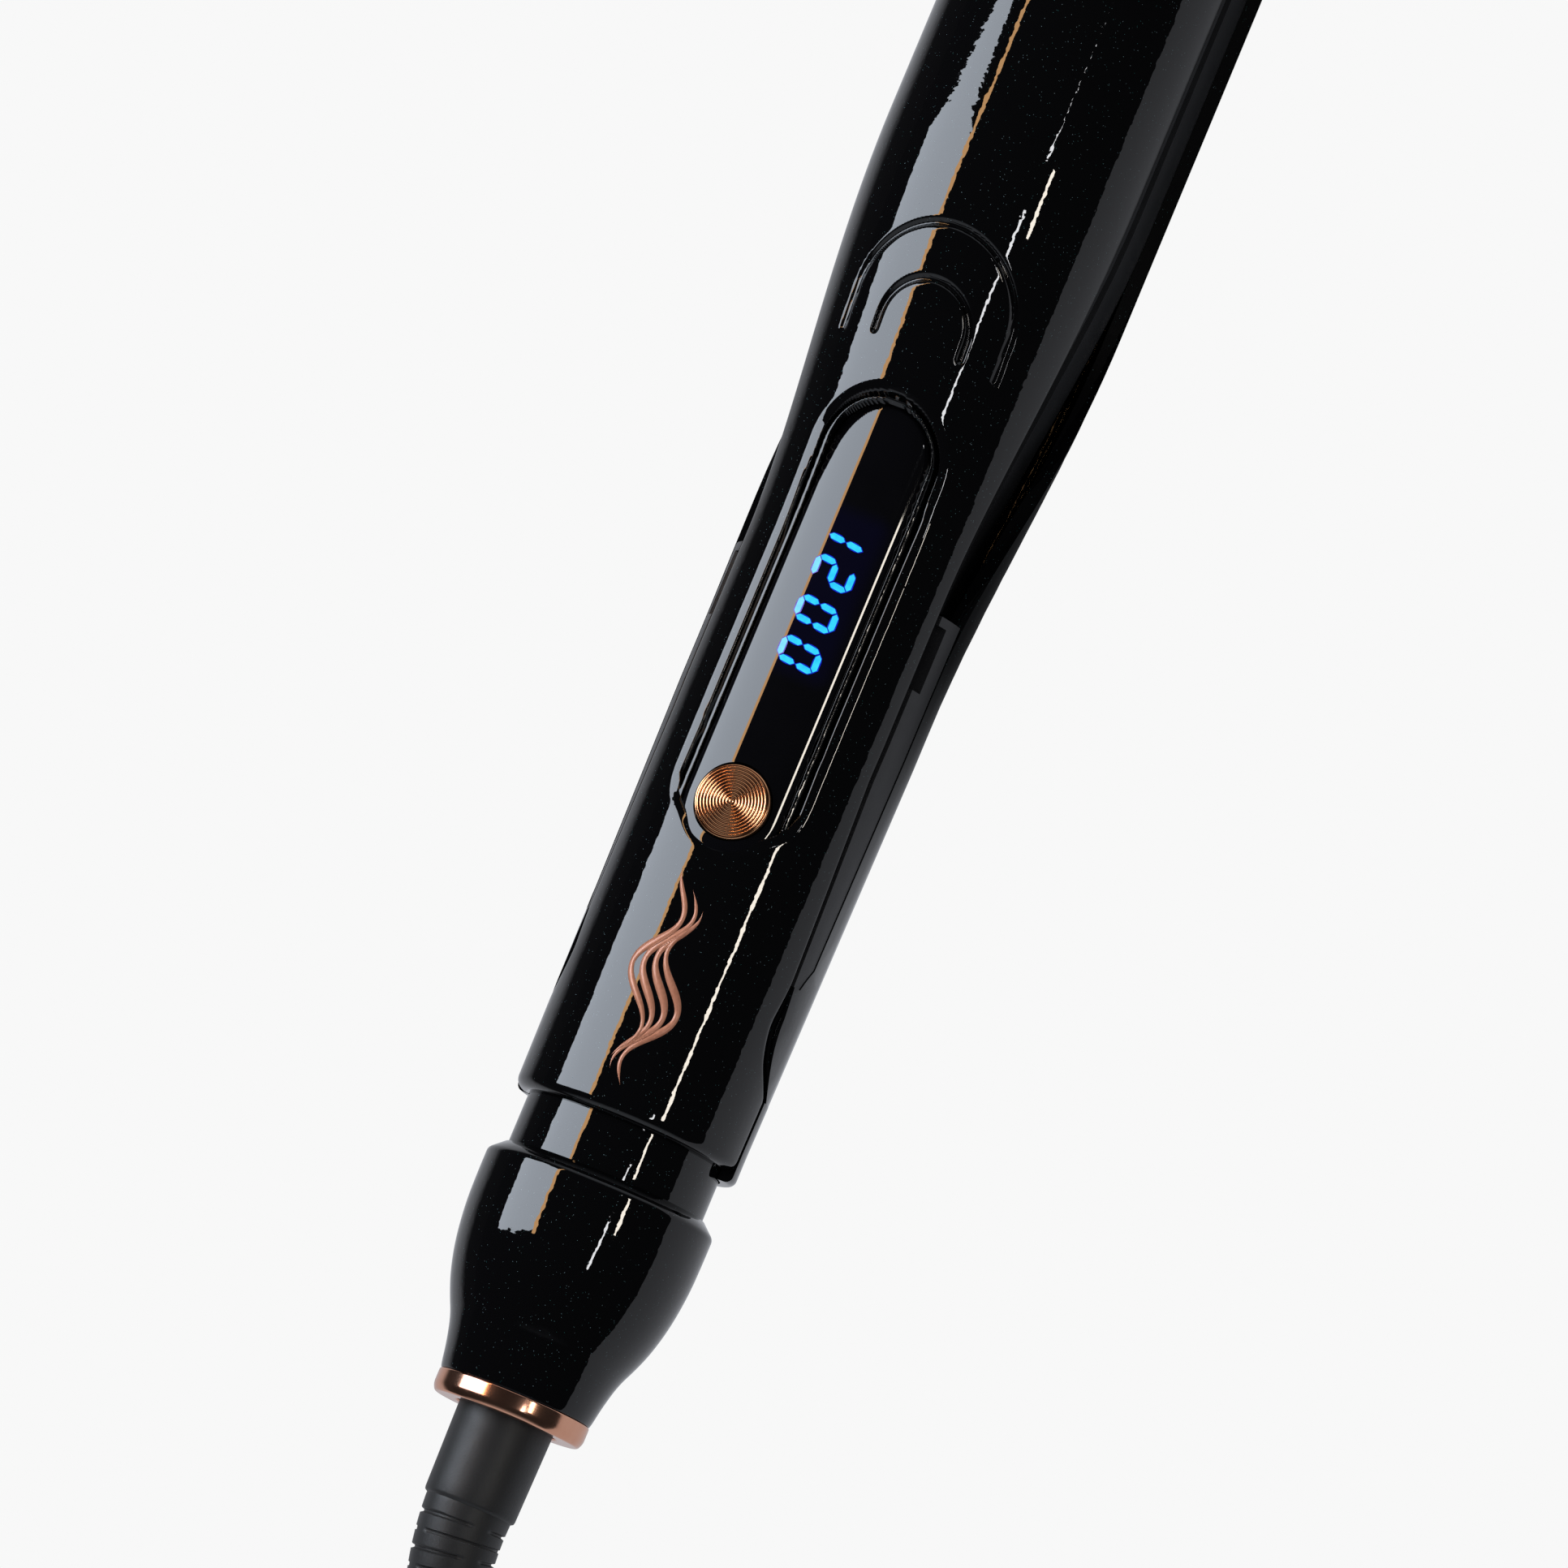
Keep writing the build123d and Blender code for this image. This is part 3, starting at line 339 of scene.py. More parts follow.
@dataclass(frozen=True)
class RoseMetal(Finish):
    """A rose-gold metal face with marks that run round the piece's own middle."""

    name: str = "aluminium_rose_anodised_turned"
    colour: str = "#F4B383"
    # the dark tone varies the metal at random, and where rings are drawn it is also their painted shade
    dark: str = "#DB9460"
    roughness: float = 0.2
    anisotropy: float = 0.5
    ripple_mm: float = 0.4
    ripple_depth_mm: float = 0.003
    # middle and pitch of the turned rings, in metres, or a pitch of 0 for none
    middle: tuple[float, float, float] = (0.0, 0.0, 0.0)
    pitch: float = 0.0

    def shader(self, tree: bpy.types.NodeTree, place: bpy.types.NodeSocket) -> bpy.types.Node:
        """The turning marks stretch each highlight into a fan."""
        grain = add(tree, "TexNoise", {"Vector": place, "Scale": cells(self.ripple_mm)})
        share = grain.outputs[0]
        if self.pitch:
            centred = add(tree, "VectorMath", {0: place, 1: self.middle}, operation="SUBTRACT")
            rings = {"Vector": centred, "Scale": math.pi / 10 / self.pitch, "Distortion": 0.0}
            wave = add(tree, "TexWave", rings, wave_type="RINGS", rings_direction="Z", wave_profile="SIN")
            # painted shade: a narrow dark line in the bottom of each ring, darker than the metal's own tone
            thin = {"Value": wave.outputs[1], "From Min": 0.0, "From Max": 0.6}
            share = add(tree, "MapRange", thin, interpolation_type="SMOOTHSTEP").outputs[0]
        tone = add(tree, "Mix", {0: share, 6: linear(self.dark), 7: linear(self.colour)}, data_type="RGBA")
        marks = add(tree, "Bump", {"Height": grain.outputs[0], "Distance": self.ripple_depth_mm * MM})
        around = add(tree, "Tangent", direction_type="RADIAL", axis="Z")
        brushed = {"Anisotropic": self.anisotropy, "Anisotropic Rotation": 0.25, "Tangent": around}
        fixed = {"Metallic": 1.0, "Roughness": self.roughness, **brushed}
        return add(tree, "BsdfPrincipled", {"Base Color": tone, "Normal": marks, **fixed})


@dataclass(frozen=True)
class Moulded(Finish):
    """A moulded or extruded plastic or rubber with blotchy tone, uneven gloss and a fine grain."""

    colour: str = "#1C1D1F"
    light: str = "#26272A"
    roughness: float = 0.5
    grain_mm: float = 0.3
    grain_depth_mm: float = 0.012
    sheen: float = 0.0

    def shader(self, tree: bpy.types.NodeTree, place: bpy.types.NodeSocket) -> bpy.types.Node:
        """Three patterns of different size keep it from looking flat."""
        tone = add(tree, "TexNoise", {"Vector": place, "Scale": cells(5.0), "Detail": 4.0})
        shades = {0: tone.outputs[0], 6: linear(self.colour), 7: linear(self.light)}
        colour = add(tree, "Mix", shades, data_type="RGBA")
        patch = add(tree, "TexNoise", {"Vector": place, "Scale": cells(2.2), "Detail": 3.0})
        ends = {"To Min": self.roughness - 0.07, "To Max": self.roughness + 0.07}
        gloss = add(tree, "MapRange", {"Value": patch.outputs[0], **ends})
        grain = add(tree, "TexNoise", {"Vector": place, "Scale": cells(self.grain_mm)})
        relief = add(tree, "Bump", {"Height": grain.outputs[0], "Distance": self.grain_depth_mm * MM})
        wired = {"Base Color": colour, "Roughness": gloss.outputs[0], "Normal": relief}
        return add(tree, "BsdfPrincipled", {**wired, "Sheen Weight": self.sheen})


@dataclass(frozen=True)
class Metal(Finish):
    """A bare or plated metal with drawn or rolled marks along one axis."""

    colour: str = "#8E8F92"
    light: str = "#B9BABD"
    roughness: float = 0.3
    # marks are drawn coarser than real ones so that they show
    mark_mm: float = 0.25

    def shader(self, tree: bpy.types.NodeTree, place: bpy.types.NodeSocket) -> bpy.types.Node:
        """Long streaks carry the tone, the gloss and the relief together."""
        drawn = add(tree, "Mapping", {"Vector": place, "Scale": (0.08, 1, 1)})
        streak = add(tree, "TexNoise", {"Vector": drawn, "Scale": cells(self.mark_mm), "Detail": 3.0})
        share = streak.outputs[0]
        colour = add(tree, "Mix", {0: share, 6: linear(self.colour), 7: linear(self.light)}, data_type="RGBA")
        ends = {"To Min": self.roughness - 0.08, "To Max": self.roughness + 0.1}
        gloss = add(tree, "MapRange", {"Value": share, **ends})
        relief = add(tree, "Bump", {"Height": share, "Distance": 0.004 * MM})
        wired = {"Base Color": colour, "Roughness": gloss.outputs[0], "Normal": relief}
        return add(tree, "BsdfPrincipled", {**wired, "Metallic": 1.0})


@dataclass(frozen=True)
class PadPrint(Finish):
    """Copper pad-printing ink on lacquer: flat warm ink, duller than the lacquer round it."""

    name: str = "ink_copper_pad_printed"

    def shader(self, tree: bpy.types.NodeTree, place: bpy.types.NodeSocket) -> bpy.types.Node:
        """Ink is uneven in tone."""
        spots = add(tree, "TexNoise", {"Vector": place, "Scale": cells(0.5)})
        ink = add(tree, "Mix", {0: spots.outputs[0], 6: linear("#A3664B"), 7: linear("#C68A6E")}, data_type="RGBA")
        fixed = {"Metallic": 0.2, "Roughness": 0.45, "Coat Weight": 0.4, "Coat Roughness": 0.1}
        return add(tree, "BsdfPrincipled", {"Base Color": ink, **fixed})


@dataclass(frozen=True)
class WovenStrap(Finish):
    """Woven polyester strap: a dull black ribbon with fine cross threads."""

    name: str = "polyester_strap_woven"
    thread_mm: float = 0.7

    def shader(self, tree: bpy.types.NodeTree, place: bpy.types.NodeSocket) -> bpy.types.Node:
        """Threads show as fine ridges both ways."""
        grid = {"Vector": place, "Scale": cells(self.thread_mm) / 3.1}
        weft = add(tree, "TexWave", grid, bands_direction="X").outputs[1]
        warp = add(tree, "TexWave", grid, bands_direction="Y").outputs[1]
        cloth = add(tree, "Math", {0: weft, 1: warp}, operation="ADD")
        tone = add(tree, "Mix", {0: cloth, 6: linear("#0F0F10"), 7: linear("#29292C")}, data_type="RGBA")
        relief = add(tree, "Bump", {"Height": cloth, "Distance": 0.06 * MM})
        fixed = {"Roughness": 0.8, "Sheen Weight": 0.25}
        return add(tree, "BsdfPrincipled", {"Base Color": tone, "Normal": relief, **fixed})


LACQUER = PearlLacquer()
# polished plating on ABS: a mirror-bright warm ring whose reflections waver a little
RING_METAL = RoseMetal("abs_rose_gold_plated_polished", "#EDB599", "#DFA083", 0.15, 0.0, 1.8, 0.01)
INK = PadPrint()
STRAP = WovenStrap()
# thermoplastic elastomer, moulded with a dull grain: soft grey bloom on black
ELASTOMER = Moulded("tpe_black_moulded", "#161718", "#202122", 0.5, 0.35, 0.02, 0.06)
# PVC, extruded: smooth dark jacket with one soft long highlight
JACKET = Moulded("pvc_black_extruded", "#101012", "#18181A", 0.36, 0.6, 0.006)
# glass-filled nylon, moulded: dark satin that keeps flat planes readable
NYLON = Moulded("nylon_glass_filled_moulded", "#1A1B1D", "#242528", 0.42, 0.25, 0.008)
# plain ABS, moulded: satin black
ABS = Moulded("abs_black_moulded", "#111113", "#1A1A1D", 0.36, 0.3, 0.008)
MASK = Moulded("epoxy_glass_solder_masked", "#0B3A22", "#145233", 0.35, 0.8, 0.01)
RED_LEAD = Moulded("silicone_red_extruded", "#7E1512", "#9A211A", 0.5, 0.5, 0.01)
WHITE_LEAD = Moulded("silicone_white_extruded", "#C9C8C1", "#DEDDD6", 0.5, 0.5, 0.01)
PAD = Moulded("silicone_red_moulded", "#7A2A20", "#8F3A2D", 0.6, 0.4, 0.02)
RESIN = Moulded("epoxy_amber_cast", "#7A4C1A", "#94612A", 0.3, 0.8, 0.02)
# ceramic coat on aluminium, sprayed and baked: dark satin plate with faint grit
CERAMIC = Moulded("aluminium_ceramic_coated", "#1B1B1E", "#29292D", 0.27, 0.25, 0.006)
ZINC = Metal("steel_zinc_plated")
WIRE = Metal("steel_spring_drawn", "#6A6B6E", "#8C8D90", 0.26)
HEATER = Metal("aluminium_extruded", "#A9A9A6", "#C4C4C0", 0.38)
BRASS = Metal("brass_turned", "#A8823A", "#CDA85C", 0.28)
NICKEL = Metal("brass_nickel_plated", "#A9A69C", "#C9C6BC", 0.24)


# ---- mesh making ----
def piece_from(name: str, points: np.ndarray, faces: Sequence[Sequence[int]]) -> bpy.types.Object:
    """Makes a smooth-shaded mesh object with its faces turned outward.

    Args:
        name: the object's name.
        points: n by 3 array in the row frame, in metres.
        faces: corner indices of each face.

    Returns:
        The new object.
    """
    mesh = bpy.data.meshes.new(name)
    mesh.from_pydata(points.reshape(-1, 3).tolist(), [], [list(f) for f in faces])
    mesh.validate()
    work = bmesh.new()
    work.from_mesh(mesh)
    bmesh.ops.recalc_face_normals(work, faces=work.faces)
    work.to_mesh(mesh)
    work.free()
    mesh.shade_smooth()
    made = bpy.data.objects.new(name, mesh)
    bpy.context.scene.collection.objects.link(made)
    return made


def skin_faces(
    rows: int, columns: int, round_rows: bool = False, round_columns: bool = False
) -> list[tuple[int, ...]]:
    """Quads over a grid of points.

    Args:
        rows: number of rows.
        columns: points in each row.
        round_rows: whether the last row joins the first.
        round_columns: whether each row is a closed ring.

    Returns:
        Corner indices of each quad.
    """
    faces = []
    for r in range(rows if round_rows else rows - 1):
        low, high = r * columns, ((r + 1) % rows) * columns
        for c in range(columns if round_columns else columns - 1):
            beside = (c + 1) % columns
            faces.append((low + c, low + beside, high + beside, high + c))
    return faces


def rounded(
    outline: Sequence[Point], radii: float | Sequence[float], closed: bool = False, steps: int = 6
) -> list[Point]:
    """Rounds the corners of an outline.

    Args:
        outline: corner points.
        radii: one radius for all corners, or one for each.
        closed: whether the outline is a loop. The ends of an open one stay sharp.
        steps: segments in each rounded corner.

    Returns:
        The points of the rounded outline.
    """
    corners = [Vector(p) for p in outline]
    each = [radii] * len(corners) if isinstance(radii, (int, float)) else list(radii)
    made: list[Point] = []
    for k, corner in enumerate(corners):
        before, after = corners[k - 1] - corner, corners[(k + 1) % len(corners)] - corner
        if each[k] <= 0 or not (closed or 0 < k < len(corners) - 1):
            made.append((corner.x, corner.y))
            continue
        a = corner + before.normalized() * min(each[k], 0.49 * before.length)
        b = corner + after.normalized() * min(each[k], 0.49 * after.length)
        for s in range(steps + 1):
            t = s / steps
            p = a * (1 - t) ** 2 + corner * 2 * t * (1 - t) + b * t * t
            made.append((p.x, p.y))
    return made


def arc(x: float, y: float, radius: float, start: float, end: float, steps: int = 24) -> list[Point]:
    """Points on an arc, with angles in degrees."""
    turns = np.radians(np.linspace(start, end, steps + 1))
    return [(x + radius * math.cos(a), y + radius * math.sin(a)) for a in turns]


def distance_to(line: Sequence[Point], x: np.ndarray, y: np.ndarray) -> np.ndarray:
    """Distance from each point to a run of straight segments.

    Args:
        line: points joined in order.
        x: first coordinates.
        y: second coordinates.

    Returns:
        Each point's distance, in the shape of x.
    """
    best = np.full(x.shape, 1e9)
    for (ax, ay), (bx, by) in zip(line[:-1], line[1:]):
        dx, dy = bx - ax, by - ay
        share = np.clip(((x - ax) * dx + (y - ay) * dy) / max(dx * dx + dy * dy, 1e-12), 0.0, 1.0)
        best = np.minimum(best, np.hypot(x - ax - share * dx, y - ay - share * dy))
    return best


def inside(line: Sequence[Point], x: np.ndarray, y: np.ndarray) -> np.ndarray:
    """Which points lie inside a closed outline.

    Args:
        line: points of the outline, the last joined to the first.
        x: first coordinates.
        y: second coordinates.

    Returns:
        True inside, in the shape of x.
    """
    found = np.zeros(x.shape, bool)
    for (ax, ay), (bx, by) in zip(line, [*line[1:], line[0]]):
        if ay != by:
            crosses = (ay > y) != (by > y)
            found ^= crosses & (x < (bx - ax) * (y - ay) / (by - ay) + ax)
    return found


@dataclass(frozen=True)
class Maker:
    """What every sub-assembly needs: where the axis is and how a piece is dressed."""

    axis: LongAxis
    housing: Housing

    def turned(self, name: str, outline: Sequence[Point], segments: int = 160) -> bpy.types.Object:
        """Turns a closed outline about the long axis.

        Args:
            name: the object's name.
            outline: points (x, radius) of a closed outline.
            segments: faces round the piece.

        Returns:
            The piece.
        """
        around = np.linspace(0, 2 * math.pi, segments, endpoint=False)
        x, r = np.array(outline).T
        y, z = np.outer(r, np.sin(around)).ravel(), np.outer(r, np.cos(around)).ravel()
        points = np.stack([np.repeat(x, segments), y, z], axis=1)
        return piece_from(name, self.axis.rows(points), skin_faces(len(outline), segments, True, True))

    def dress(self, piece: bpy.types.Object, body: Body, finish: Finish, slot: Slot, *nodes: str) -> bpy.types.Object:
        """Dresses a piece, sets it on its body and hides the CAD nodes it replaces.

        Args:
            piece: the new piece.
            body: what it moves with.
            finish: its material.
            slot: the record's slot it stands for; not used.
            nodes: CAD nodes it replaces.

        Returns:
            The piece.
        """
        finish.put_on(piece)
        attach(piece, body.value)
        if nodes:
            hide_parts(*nodes)
        LOG.info("%s rides on %s", piece.name, body.value)
        return piece


# ---- mains lead ----
@dataclass(frozen=True)
class MainsLead:
    """The cord from the tail to its plug, put away as a hank with a strap round it."""

    maker: Maker
    diameter: float = 6.0
    length_m: float = 1.76
    # out of the boot, down to the floor and along to the hank
    route: tuple[tuple[float, float, float], ...] = (
        (-42.618, -7.802, -6.547),
        (-55.2, -12.504, -10.492),
        (-70.0, -18.2, -16.6),
        (-87.0, -22.9, -20.5),
        (-107.0, -24.0, -20.5),
    )
    # from the hank's top turn over to the plug
    lead_end: tuple[tuple[float, float, float], ...] = (
        (-104.0, -18.6, -8.5),
        (-118.0, -17.4, -6.0),
        (-137.0, -7.4, -0.5),
        (-154.0, 0.0, 2.0),
        (-170.0, 0.0, 2.0),
    )
    fold_x: Point = (-112.0, -178.0)
    waist_x: Point = (-137.0, -153.0)
    shoulder_x: Point = (-120.0, -170.0)
    # the strap passes under the turns, so they stand this much higher in it
    waist_rise: float = 0.62
    # lane radius, waist half-width and row height of each turn, in winding order
    turns: tuple[tuple[float, float, float], ...] = (
        (24.0, 15.0, -20.5),
        (18.0, 9.0, -20.5),
        (18.0, 9.0, -14.5),
        (24.0, 15.0, -14.5),
        (24.0, 15.0, -8.5),
        (18.0, 9.0, -8.5),
    )

    def hank(self) -> list[tuple[float, float, float]]:
        """Control points of the turns, sixteen to a turn, each turn's last fold leading over to the next."""
        near, far = self.fold_x
        run = (self.shoulder_x[0], *self.waist_x, self.shoulder_x[1])
        rise = (0.0, self.waist_rise, self.waist_rise, 0.0)
        points: list[tuple[float, float, float]] = []
        for k, (radius, waist, z) in enumerate(self.turns):
            after = self.turns[min(k + 1, len(self.turns) - 1)]
            wide = (radius, waist, waist, radius)
            points += [(x, -y, z + up) for x, y, up in zip(run, wide, rise)]
            for angle in (112.5, 157.5, 202.5, 247.5):
                turn, reach = math.radians(angle), radius / math.cos(math.radians(22.5))
                points.append((far + reach * math.cos(turn), -reach * math.sin(turn), z))
            points += [(x, y, z + up) for x, y, up in zip(reversed(run), wide, rise)]
            for share, angle in zip((0.0, 0.3, 0.7, 1.0), (-67.5, -22.5, 22.5, 67.5)):
                lane, height = radius + (after[0] - radius) * share, z + (after[2] - z) * share
                turn, reach = math.radians(angle), lane / math.cos(math.radians(22.5))
                points.append((near + reach * math.cos(turn), -reach * math.sin(turn), height))
        return points

    def cord(self, pieces: Sequence[bpy.types.Object | str]) -> None:
        """Lays the whole cord as one smooth line.

        Args:
            pieces: what sits on the cord, such as its plug; not used.
        """
        axis = self.maker.axis
        points = [*self.route, *self.hank(), *self.lead_end[1:]]
        line = bpy.data.curves.new("mains_cord", "CURVE")
        line.dimensions = "3D"
        line.bevel_depth = self.diameter / 2 * MM
        line.bevel_resolution = 10
        line.use_fill_caps = True
        spline = line.splines.new("NURBS")
        spline.points.add(len(points) - 1)
        for made, point in zip(spline.points, points):
            made.co = (*axis.at(*point), 1.0)
        spline.order_u = 3
        spline.use_endpoint_u = True
        spline.resolution_u = 12
        piece = bpy.data.objects.new("mains_cord", line)
        bpy.context.scene.collection.objects.link(piece)
        self.maker.dress(piece, Body.CORD_END, JACKET, Slot.CORD, "power_cord", "cord_hank", "plug_lead")
        axis.at(*self.route[0])

    def build(self) -> None:
        """Builds the cord."""
        self.cord(["plug_grip", "plug_blades", "hank_strap"])


# ---- arms ----
@dataclass(frozen=True)
class FrontShell:
    """Outer half of the front arm, with the display's recess and two arched grooves sunk into it."""

    maker: Maker
    recess_x: Point = (80.2, 134.3)
    recess_half: float = 9.8
    shoulder_x: float = 84.0
    foot_half: float = 5.63
    foot_radius: float = 7.4
    foot_centre: float = 85.0
    floor_radius: float = 13.9
    trough: Point = (16.4, 2.45)
    bevel: float = 1.4
    bevel_drop: float = 0.34
    bevel_rim: float = 0.14
    wall_run: float = 0.3
    # the low lip that stands round the lens: its inner and outer distance from it
    lip: Point = (0.2, 0.75)
    lip_drop: float = 0.45
    lens_x: Point = (85.0, 134.5)
    lens_half: float = 7.0
    groove_half: Point = (10.9, 6.15)
    groove_apex: Point = (165.8, 158.3)
    groove_end: Point = (149.0, 149.8)
    groove_width: float = 0.72
    groove_depth: float = 0.6
    rim: float = 0.45
    scoop_rim: float = 1.1
    inner_tail_radius: float = 12.8
    columns: int = 221

    def stations(self) -> np.ndarray:
        """Where the cross-sections stand: close together where something is sunk in."""
        house = self.maker.housing
        turn = house.tail_x + house.tail_chamfer * (1 - np.cos(np.linspace(0, math.pi / 2, 9)))
        parts = (turn, np.arange(43.2, 74, 0.6), np.arange(74.0, 172, 0.27), np.arange(172.5, 295.9, 2.2), [296.0])
        return np.concatenate(parts)

    def recess_line(self) -> list[Point]:
        """Outline of the recess seen from above, closed."""
        turn = math.degrees(math.asin(self.foot_half / self.foot_radius))
        foot = arc(self.foot_centre, 0, self.foot_radius, 180 + turn, 180 - turn)
        top = arc(self.recess_x[1], 0, self.recess_half, 90, -90, 48)
        corner = [foot[-1], (self.shoulder_x, self.recess_half), (self.shoulder_x + 8, self.recess_half)]
        knees = [rounded(corner, 4.0)[1:-1]]
        knees.append([(x, -y) for x, y in reversed(knees[0])])
        return [*foot, *knees[0], *top, *knees[1], foot[0]]

    def groove_line(self, k: int) -> list[Point]:
        """Centre line of one arched groove seen from above."""
        half, apex, end = self.groove_half[k], self.groove_apex[k], self.groove_end[k]
        return [(end, half), *arc(apex - half, 0, half, 90, -90, 48), (end, -half)]

    def sunk(self, x: np.ndarray, y: np.ndarray, z: np.ndarray) -> np.ndarray:
        """Height of the outer skin with everything sunk into it.

        Args:
            x: place along the arm.
            y: place across.
            z: height of the plain skin.

        Returns:
            The new heights.
        """
        line = self.recess_line()
        depth = np.where(inside(line, x, y), distance_to(line, x, y), 0.0)
        floor = np.sqrt(np.clip(self.trough[0] ** 2 - y**2, 0.0, None)) - self.trough[1]
        ledge = z - self.bevel_drop * (np.hypot(np.minimum(depth, self.bevel), self.bevel_rim) - self.bevel_rim)
        made = ledge + (np.minimum(floor, ledge) - ledge) * eased(depth, self.bevel, self.bevel + self.wall_run)
        beyond = np.maximum(np.maximum(self.lens_x[0] - x, x - self.lens_x[1]), 0.0)
        gap = np.hypot(beyond, y) - self.lens_half
        near, far = self.lip
        lip = eased(gap, near - 0.12, near) * (1 - eased(gap, far - 0.08, far + 0.12))
        made = np.maximum(made, made + (z - self.lip_drop - made) * lip)
        for k in range(2):
            away = distance_to(self.groove_line(k), x, y)
            near = np.clip(away / self.groove_width, 0.0, 1.0)
            made = made - self.groove_depth * 0.5 * (1 + np.cos(math.pi * near))
        return made

    def build(self) -> None:
        """Builds the skin as one closed grid of cross-sections."""
        house = self.maker.housing
        x = self.stations()
        radius, middle = house.radius(x, house.front_flare), house.offset(x, house.front_flare)
        edge = house.front_edge(x)
        scoop = eased(x, 51.0, 56.0) * (1 - eased(x, 60.0, 67.0))
        rim = self.rim + (self.scoop_rim - self.rim) * scoop
        turn = np.arccos(np.clip((edge + rim - middle) / (radius - rim), -1, 1))
        # columns stand closest where the recess and the grooves have their edges
        knots, shares = (0, 25, 75, 145, 195, 220), (-1, -0.5, -0.27, 0.27, 0.5, 1)
        spread = np.interp(np.linspace(0, 220, self.columns), knots, shares)
        angle = np.outer(turn, spread)
        y, z = radius[:, None] * np.sin(angle), middle[:, None] + radius[:, None] * np.cos(angle)
        top = z > 9.0
        sunk = self.sunk(np.broadcast_to(x[:, None], y.shape)[top], y[top], z[top])
        z[top] = sunk
        ends = []
        for side in (1, -1):
            share = np.linspace(0, 1, 6)[1:]
            bend = turn[:, None] + (math.pi - turn[:, None]) * share
            ry = side * ((radius - rim) * np.sin(turn))[:, None] + side * rim[:, None] * np.sin(bend)
            rz = (edge + rim)[:, None] + rim[:, None] * np.cos(bend)
            ends.append((ry, rz) if side == 1 else (ry[:, ::-1], rz[:, ::-1]))
        inner = np.where(x < 43.4, self.inner_tail_radius, radius - house.wall)
        inner_turn = np.arccos(np.clip((edge - middle) / inner, -1, 1))
        inner_angle = np.outer(inner_turn, np.linspace(1, -1, 61))
        iy, iz = inner[:, None] * np.sin(inner_angle), middle[:, None] + inner[:, None] * np.cos(inner_angle)
        under = self.floor_radius - 1.4
        low = (x > 70) & (x < 146)
        iz[low] = np.minimum(iz[low], np.sqrt(np.clip(under**2 - iy[low] ** 2, 0, None)) + 40 * (np.abs(iy[low]) > 11))
        ys = np.concatenate([y, ends[0][0], iy, ends[1][0]], axis=1)
        zs = np.concatenate([z, ends[0][1], iz, ends[1][1]], axis=1)
        points = np.stack([np.broadcast_to(x[:, None], ys.shape), ys, zs], axis=2).reshape(-1, 3)
        rows, columns = ys.shape
        faces = skin_faces(rows, columns, round_columns=True)
        faces += [tuple(range(columns)), tuple(range((rows - 1) * columns, rows * columns))]
        piece = piece_from("front_shell_skin", self.maker.axis.rows(points), faces)
        self.maker.dress(piece, Body.FRONT_ARM, LACQUER, Slot.SHELL, "front_arm_shell")


@dataclass(frozen=True)
class TailCover:
    """Lower half of the front arm's tail, which reaches a little further back on the near side."""

    maker: Maker
    ends: Point = (39.6, 51.2)
    far_start: float = 41.0
    top: float = 1.15
    rim: float = 0.35
    inner_radius: float = 14.0
    columns: int = 121

    def build(self) -> None:
        """Builds it as one closed grid, from the near side under the iron to the far side."""
        house = self.maker.housing
        turn = math.acos((self.top - self.rim) / house.tail_radius)
        angles = np.linspace(turn, 2 * math.pi - turn, self.columns)
        share = eased(np.cos(angles - math.pi / 2), -0.25, 0.25)
        start = self.ends[0] + (self.far_start - self.ends[0]) * share
        lengths = np.concatenate([1 - np.cos(np.linspace(0, math.pi / 2, 7)), [1.6, 2.6, 3.6, 4.6]])
        rows = []
        for run in lengths:
            drop = 1 - math.sqrt(max(0.0, 1 - (1 - min(run, 1.0)) ** 2))
            rows.append((np.minimum(start + run, self.ends[1]), house.tail_radius + 0.05 - drop))
        rows.append((np.full(self.columns, self.ends[1]), house.tail_radius + 0.15))
        rows += [(np.full(self.columns, self.ends[1]), self.inner_radius), (start, self.inner_radius)]
        points = [np.column_stack([x, r * np.sin(angles), r * np.cos(angles)]) for x, r in rows]
        faces = skin_faces(len(points), self.columns, round_rows=True)
        last = self.columns - 1
        faces += [tuple(k * self.columns + c for k in range(len(points))) for c in (0, last)]
        piece = piece_from("tail_cover_skin", self.maker.axis.rows(np.concatenate(points)), faces)
        piece.data.set_sharp_from_angle(angle=math.radians(50))
        self.maker.dress(piece, Body.FRONT_ARM, LACQUER, Slot.SHELL, "tail_cover")


